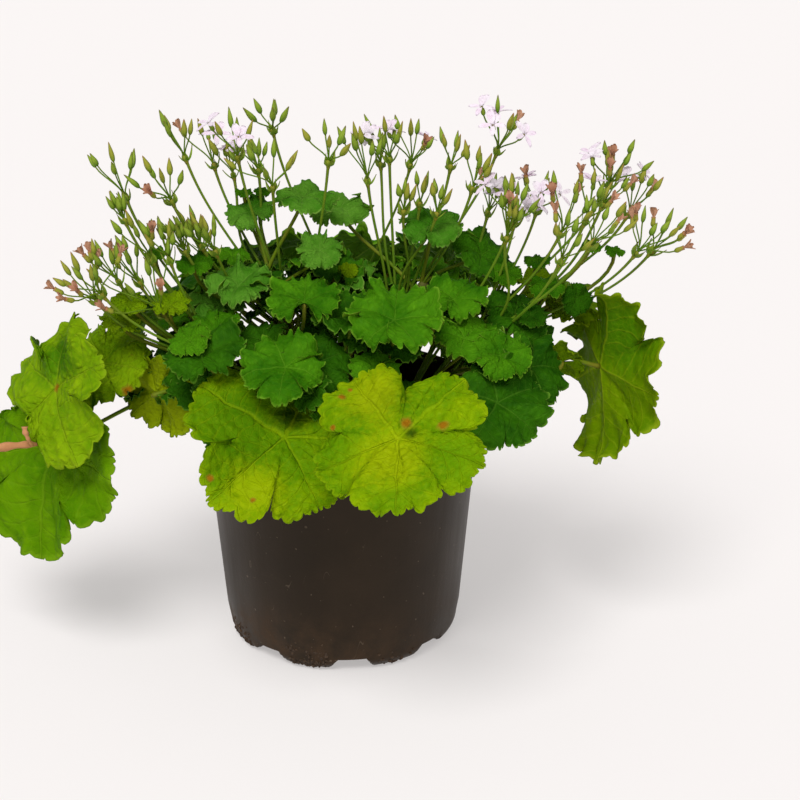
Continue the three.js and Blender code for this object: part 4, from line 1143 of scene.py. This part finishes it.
def make_umbel(row, index, bow):
    """A flower stalk: a long peduncle, a funnel-shaped node with bracts, and rays that carry the flowers."""
    name, stem, at, node, rays, ray, spread, opened, faded = row
    green, swelling, bud, warm, petal, spent = range(6)
    random = np.random.default_rng(UMBEL_SEED + index)
    node = np.array(node, float)
    start = bezier(STEMS[stem], at)
    axis = unit(unit(node - start) + 0.6 * UP)
    parts = Parts()
    along = np.linspace(0, 1, 26)
    path = bezier(stalk_curve(start, node, axis), along)
    path = path + np.sin(np.pi * along)[:, None] ** 2 * random.normal(0, bow, 3) * (1, 1, 0)
    tube(parts, path, 0.92 - 0.24 * along + 0.3 * along**10, 8, green)
    pointed(parts, node - axis * 3.6, axis, 5.6, 1.6, swelling, 10, "swelling")
    level = unit(np.cross(axis, UP if abs(axis[2]) <= 0.9 else np.array([0, 1.0, 0])))
    for k in range(4):
        out = turned(level, axis, 1.57 * k + index)
        bract(parts, node - axis * 1.2 + out, unit(out * random.uniform(0.5, 1.3) + axis), out,
              random.uniform(4, 10), random.uniform(1.2, 2.4), bud)
    for k in range(rays):
        tilt = np.radians(spread) * np.sqrt((k + 0.5) / rays)
        way = turned(turned(axis, level, tilt), axis, GOLDEN * k + index)
        length = ray * (0.85 + 0.2 * np.sin(GOLDEN * k + index))
        end = node + way * length
        final = unit(way + 0.35 * UP)
        corners = [node, node + axis * 0.35 * length, end - final * 0.3 * length, end]
        tube(parts, bezier(corners, np.linspace(0, 1, 8)), RAY_RADIUS, 6, green)
        if k >= rays - opened:
            pointed(parts, end, final, 5.5, 1.5, bud, 8, "calyx")
            flower(parts, end + final * 5.4, unit(final + 0.5 * aim(0, 0)), OPEN_SIZE, random, petal)
        elif k >= rays - opened - faded:
            pointed(parts, end, final, 6.0, 1.7, warm, 8, "calyx")
            flower(parts, end + final * 5.6, final, SPENT_SIZE, random, spent, closed=0.75)
        else:
            pointed(parts, end, final, random.uniform(8.0, 12.0), random.uniform(1.3, 1.8),
                    bud if random.random() < 0.7 else warm, 10)
    return parts.write(f"umbel_{name}", [STALK, NODE, BUD, BUD_WARM, PETAL, SPENT])


# The build

SLOTS = {"lime": "leaf_lime", "dark": "leaf_dark", "olive": "leaf_olive"}
OTHER_LEAVES = "leaf_mid"


def place(piece, slot, *nodes):
    """Puts a piece on the one body and lets it stand for its nodes. The slot is not used."""
    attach(piece, "root")
    if nodes:
        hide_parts(*nodes)


place(make_pot(), "pot", "pot")
place(make_crust(), "soil")
place(make_soil(), "soil", "soil")
for name in STEMS:
    place(make_stem(name), "stem", f"stem_{name}")
for index, row in enumerate(LEAVES):
    place(make_leaf(row, index), SLOTS.get(row[6], OTHER_LEAVES), f"leaf_{row[0]}")
place(make_dried_stalk(), "stem")
small_leaves = [(f"small_{index}", *row) for index, row in enumerate(SMALL_LEAVES)]
for piece in make_shoots(mound_leaves() + small_leaves):
    place(piece, "leaf_dark")
for index, row in enumerate(STALKS):
    place(make_umbel(row, index, BOW), "flower_stalk", f"flower_stalk_{row[0]}")
for index, row in enumerate(MORE_STALKS, len(STALKS)):
    place(make_umbel(row, index, OWN_BOW), "flower_stalk")


# Camera, light and floor


def sun_light(name, azimuth, elevation, strength, softness):
    """A soft light of one direction, whose shadows' blur is its angle."""
    data = bpy.data.lights.new(name, "SUN")
    data.energy, data.angle = strength, np.radians(softness)
    new_object(name, data).rotation_euler = Vector(aim(azimuth, elevation)).to_track_quat("Z", "Y").to_euler()


# The camera's tilt is in degrees. Its distance and aim, and the floor's reach, are in metres.
CAMERA_TILT = 22.0
CAMERA_AWAY = 1.2
CAMERA_AIM = (0.034, 0.0, 0.142)
SENSOR = 36.0
FOCAL_PIXELS = 2070.0
FRAME_PIXELS = 800.0
FLOOR_REACH = 8

camera_data = bpy.data.cameras.new("camera")
camera_data.sensor_width = SENSOR
camera_data.lens = FOCAL_PIXELS / FRAME_PIXELS * SENSOR
camera = new_object("camera", camera_data)
tilt = np.radians(CAMERA_TILT)
camera.location = Vector(CAMERA_AIM) + Vector((0, -np.cos(tilt), np.sin(tilt))) * CAMERA_AWAY
camera.rotation_euler = (np.pi / 2 - tilt, 0, 0)
bpy.context.scene.camera = camera

sun_light("key", -18, 56, 2.7, 30)
sun_light("fill", 60, 30, 0.3, 60)
sun_light("front", 0, 12, 0.3, 50)

floor_mesh = bpy.data.meshes.new("floor")
sides = ((-1, -1), (1, -1), (1, 1), (-1, 1))
floor_mesh.from_pydata([(x * FLOOR_REACH, y * FLOOR_REACH, 0) for x, y in sides], [], [(0, 1, 2, 3)])
floor = new_object("floor", floor_mesh)
pale, n, surface = material("pale floor")
lit = n.node("ShaderNodeBsdfDiffuse", {"Color": (0.47, 0.45, 0.445)}).outputs[0]
glow = n.node("ShaderNodeEmission", {"Color": (1.0, 0.965, 0.955), "Strength": 0.42}).outputs[0]
n.put(surface, n.node("ShaderNodeAddShader", {0: lit, 1: glow}).outputs[0])
floor_mesh.materials.append(pale)

world = bpy.data.worlds.new("studio")
world.use_nodes = True
background = world.node_tree.nodes["Background"]
background.inputs["Color"].default_value = (1.0, 0.99, 0.98, 1.0)
background.inputs["Strength"].default_value = 0.38
bpy.context.scene.world = world
bpy.context.scene.view_settings.view_transform = "Standard"
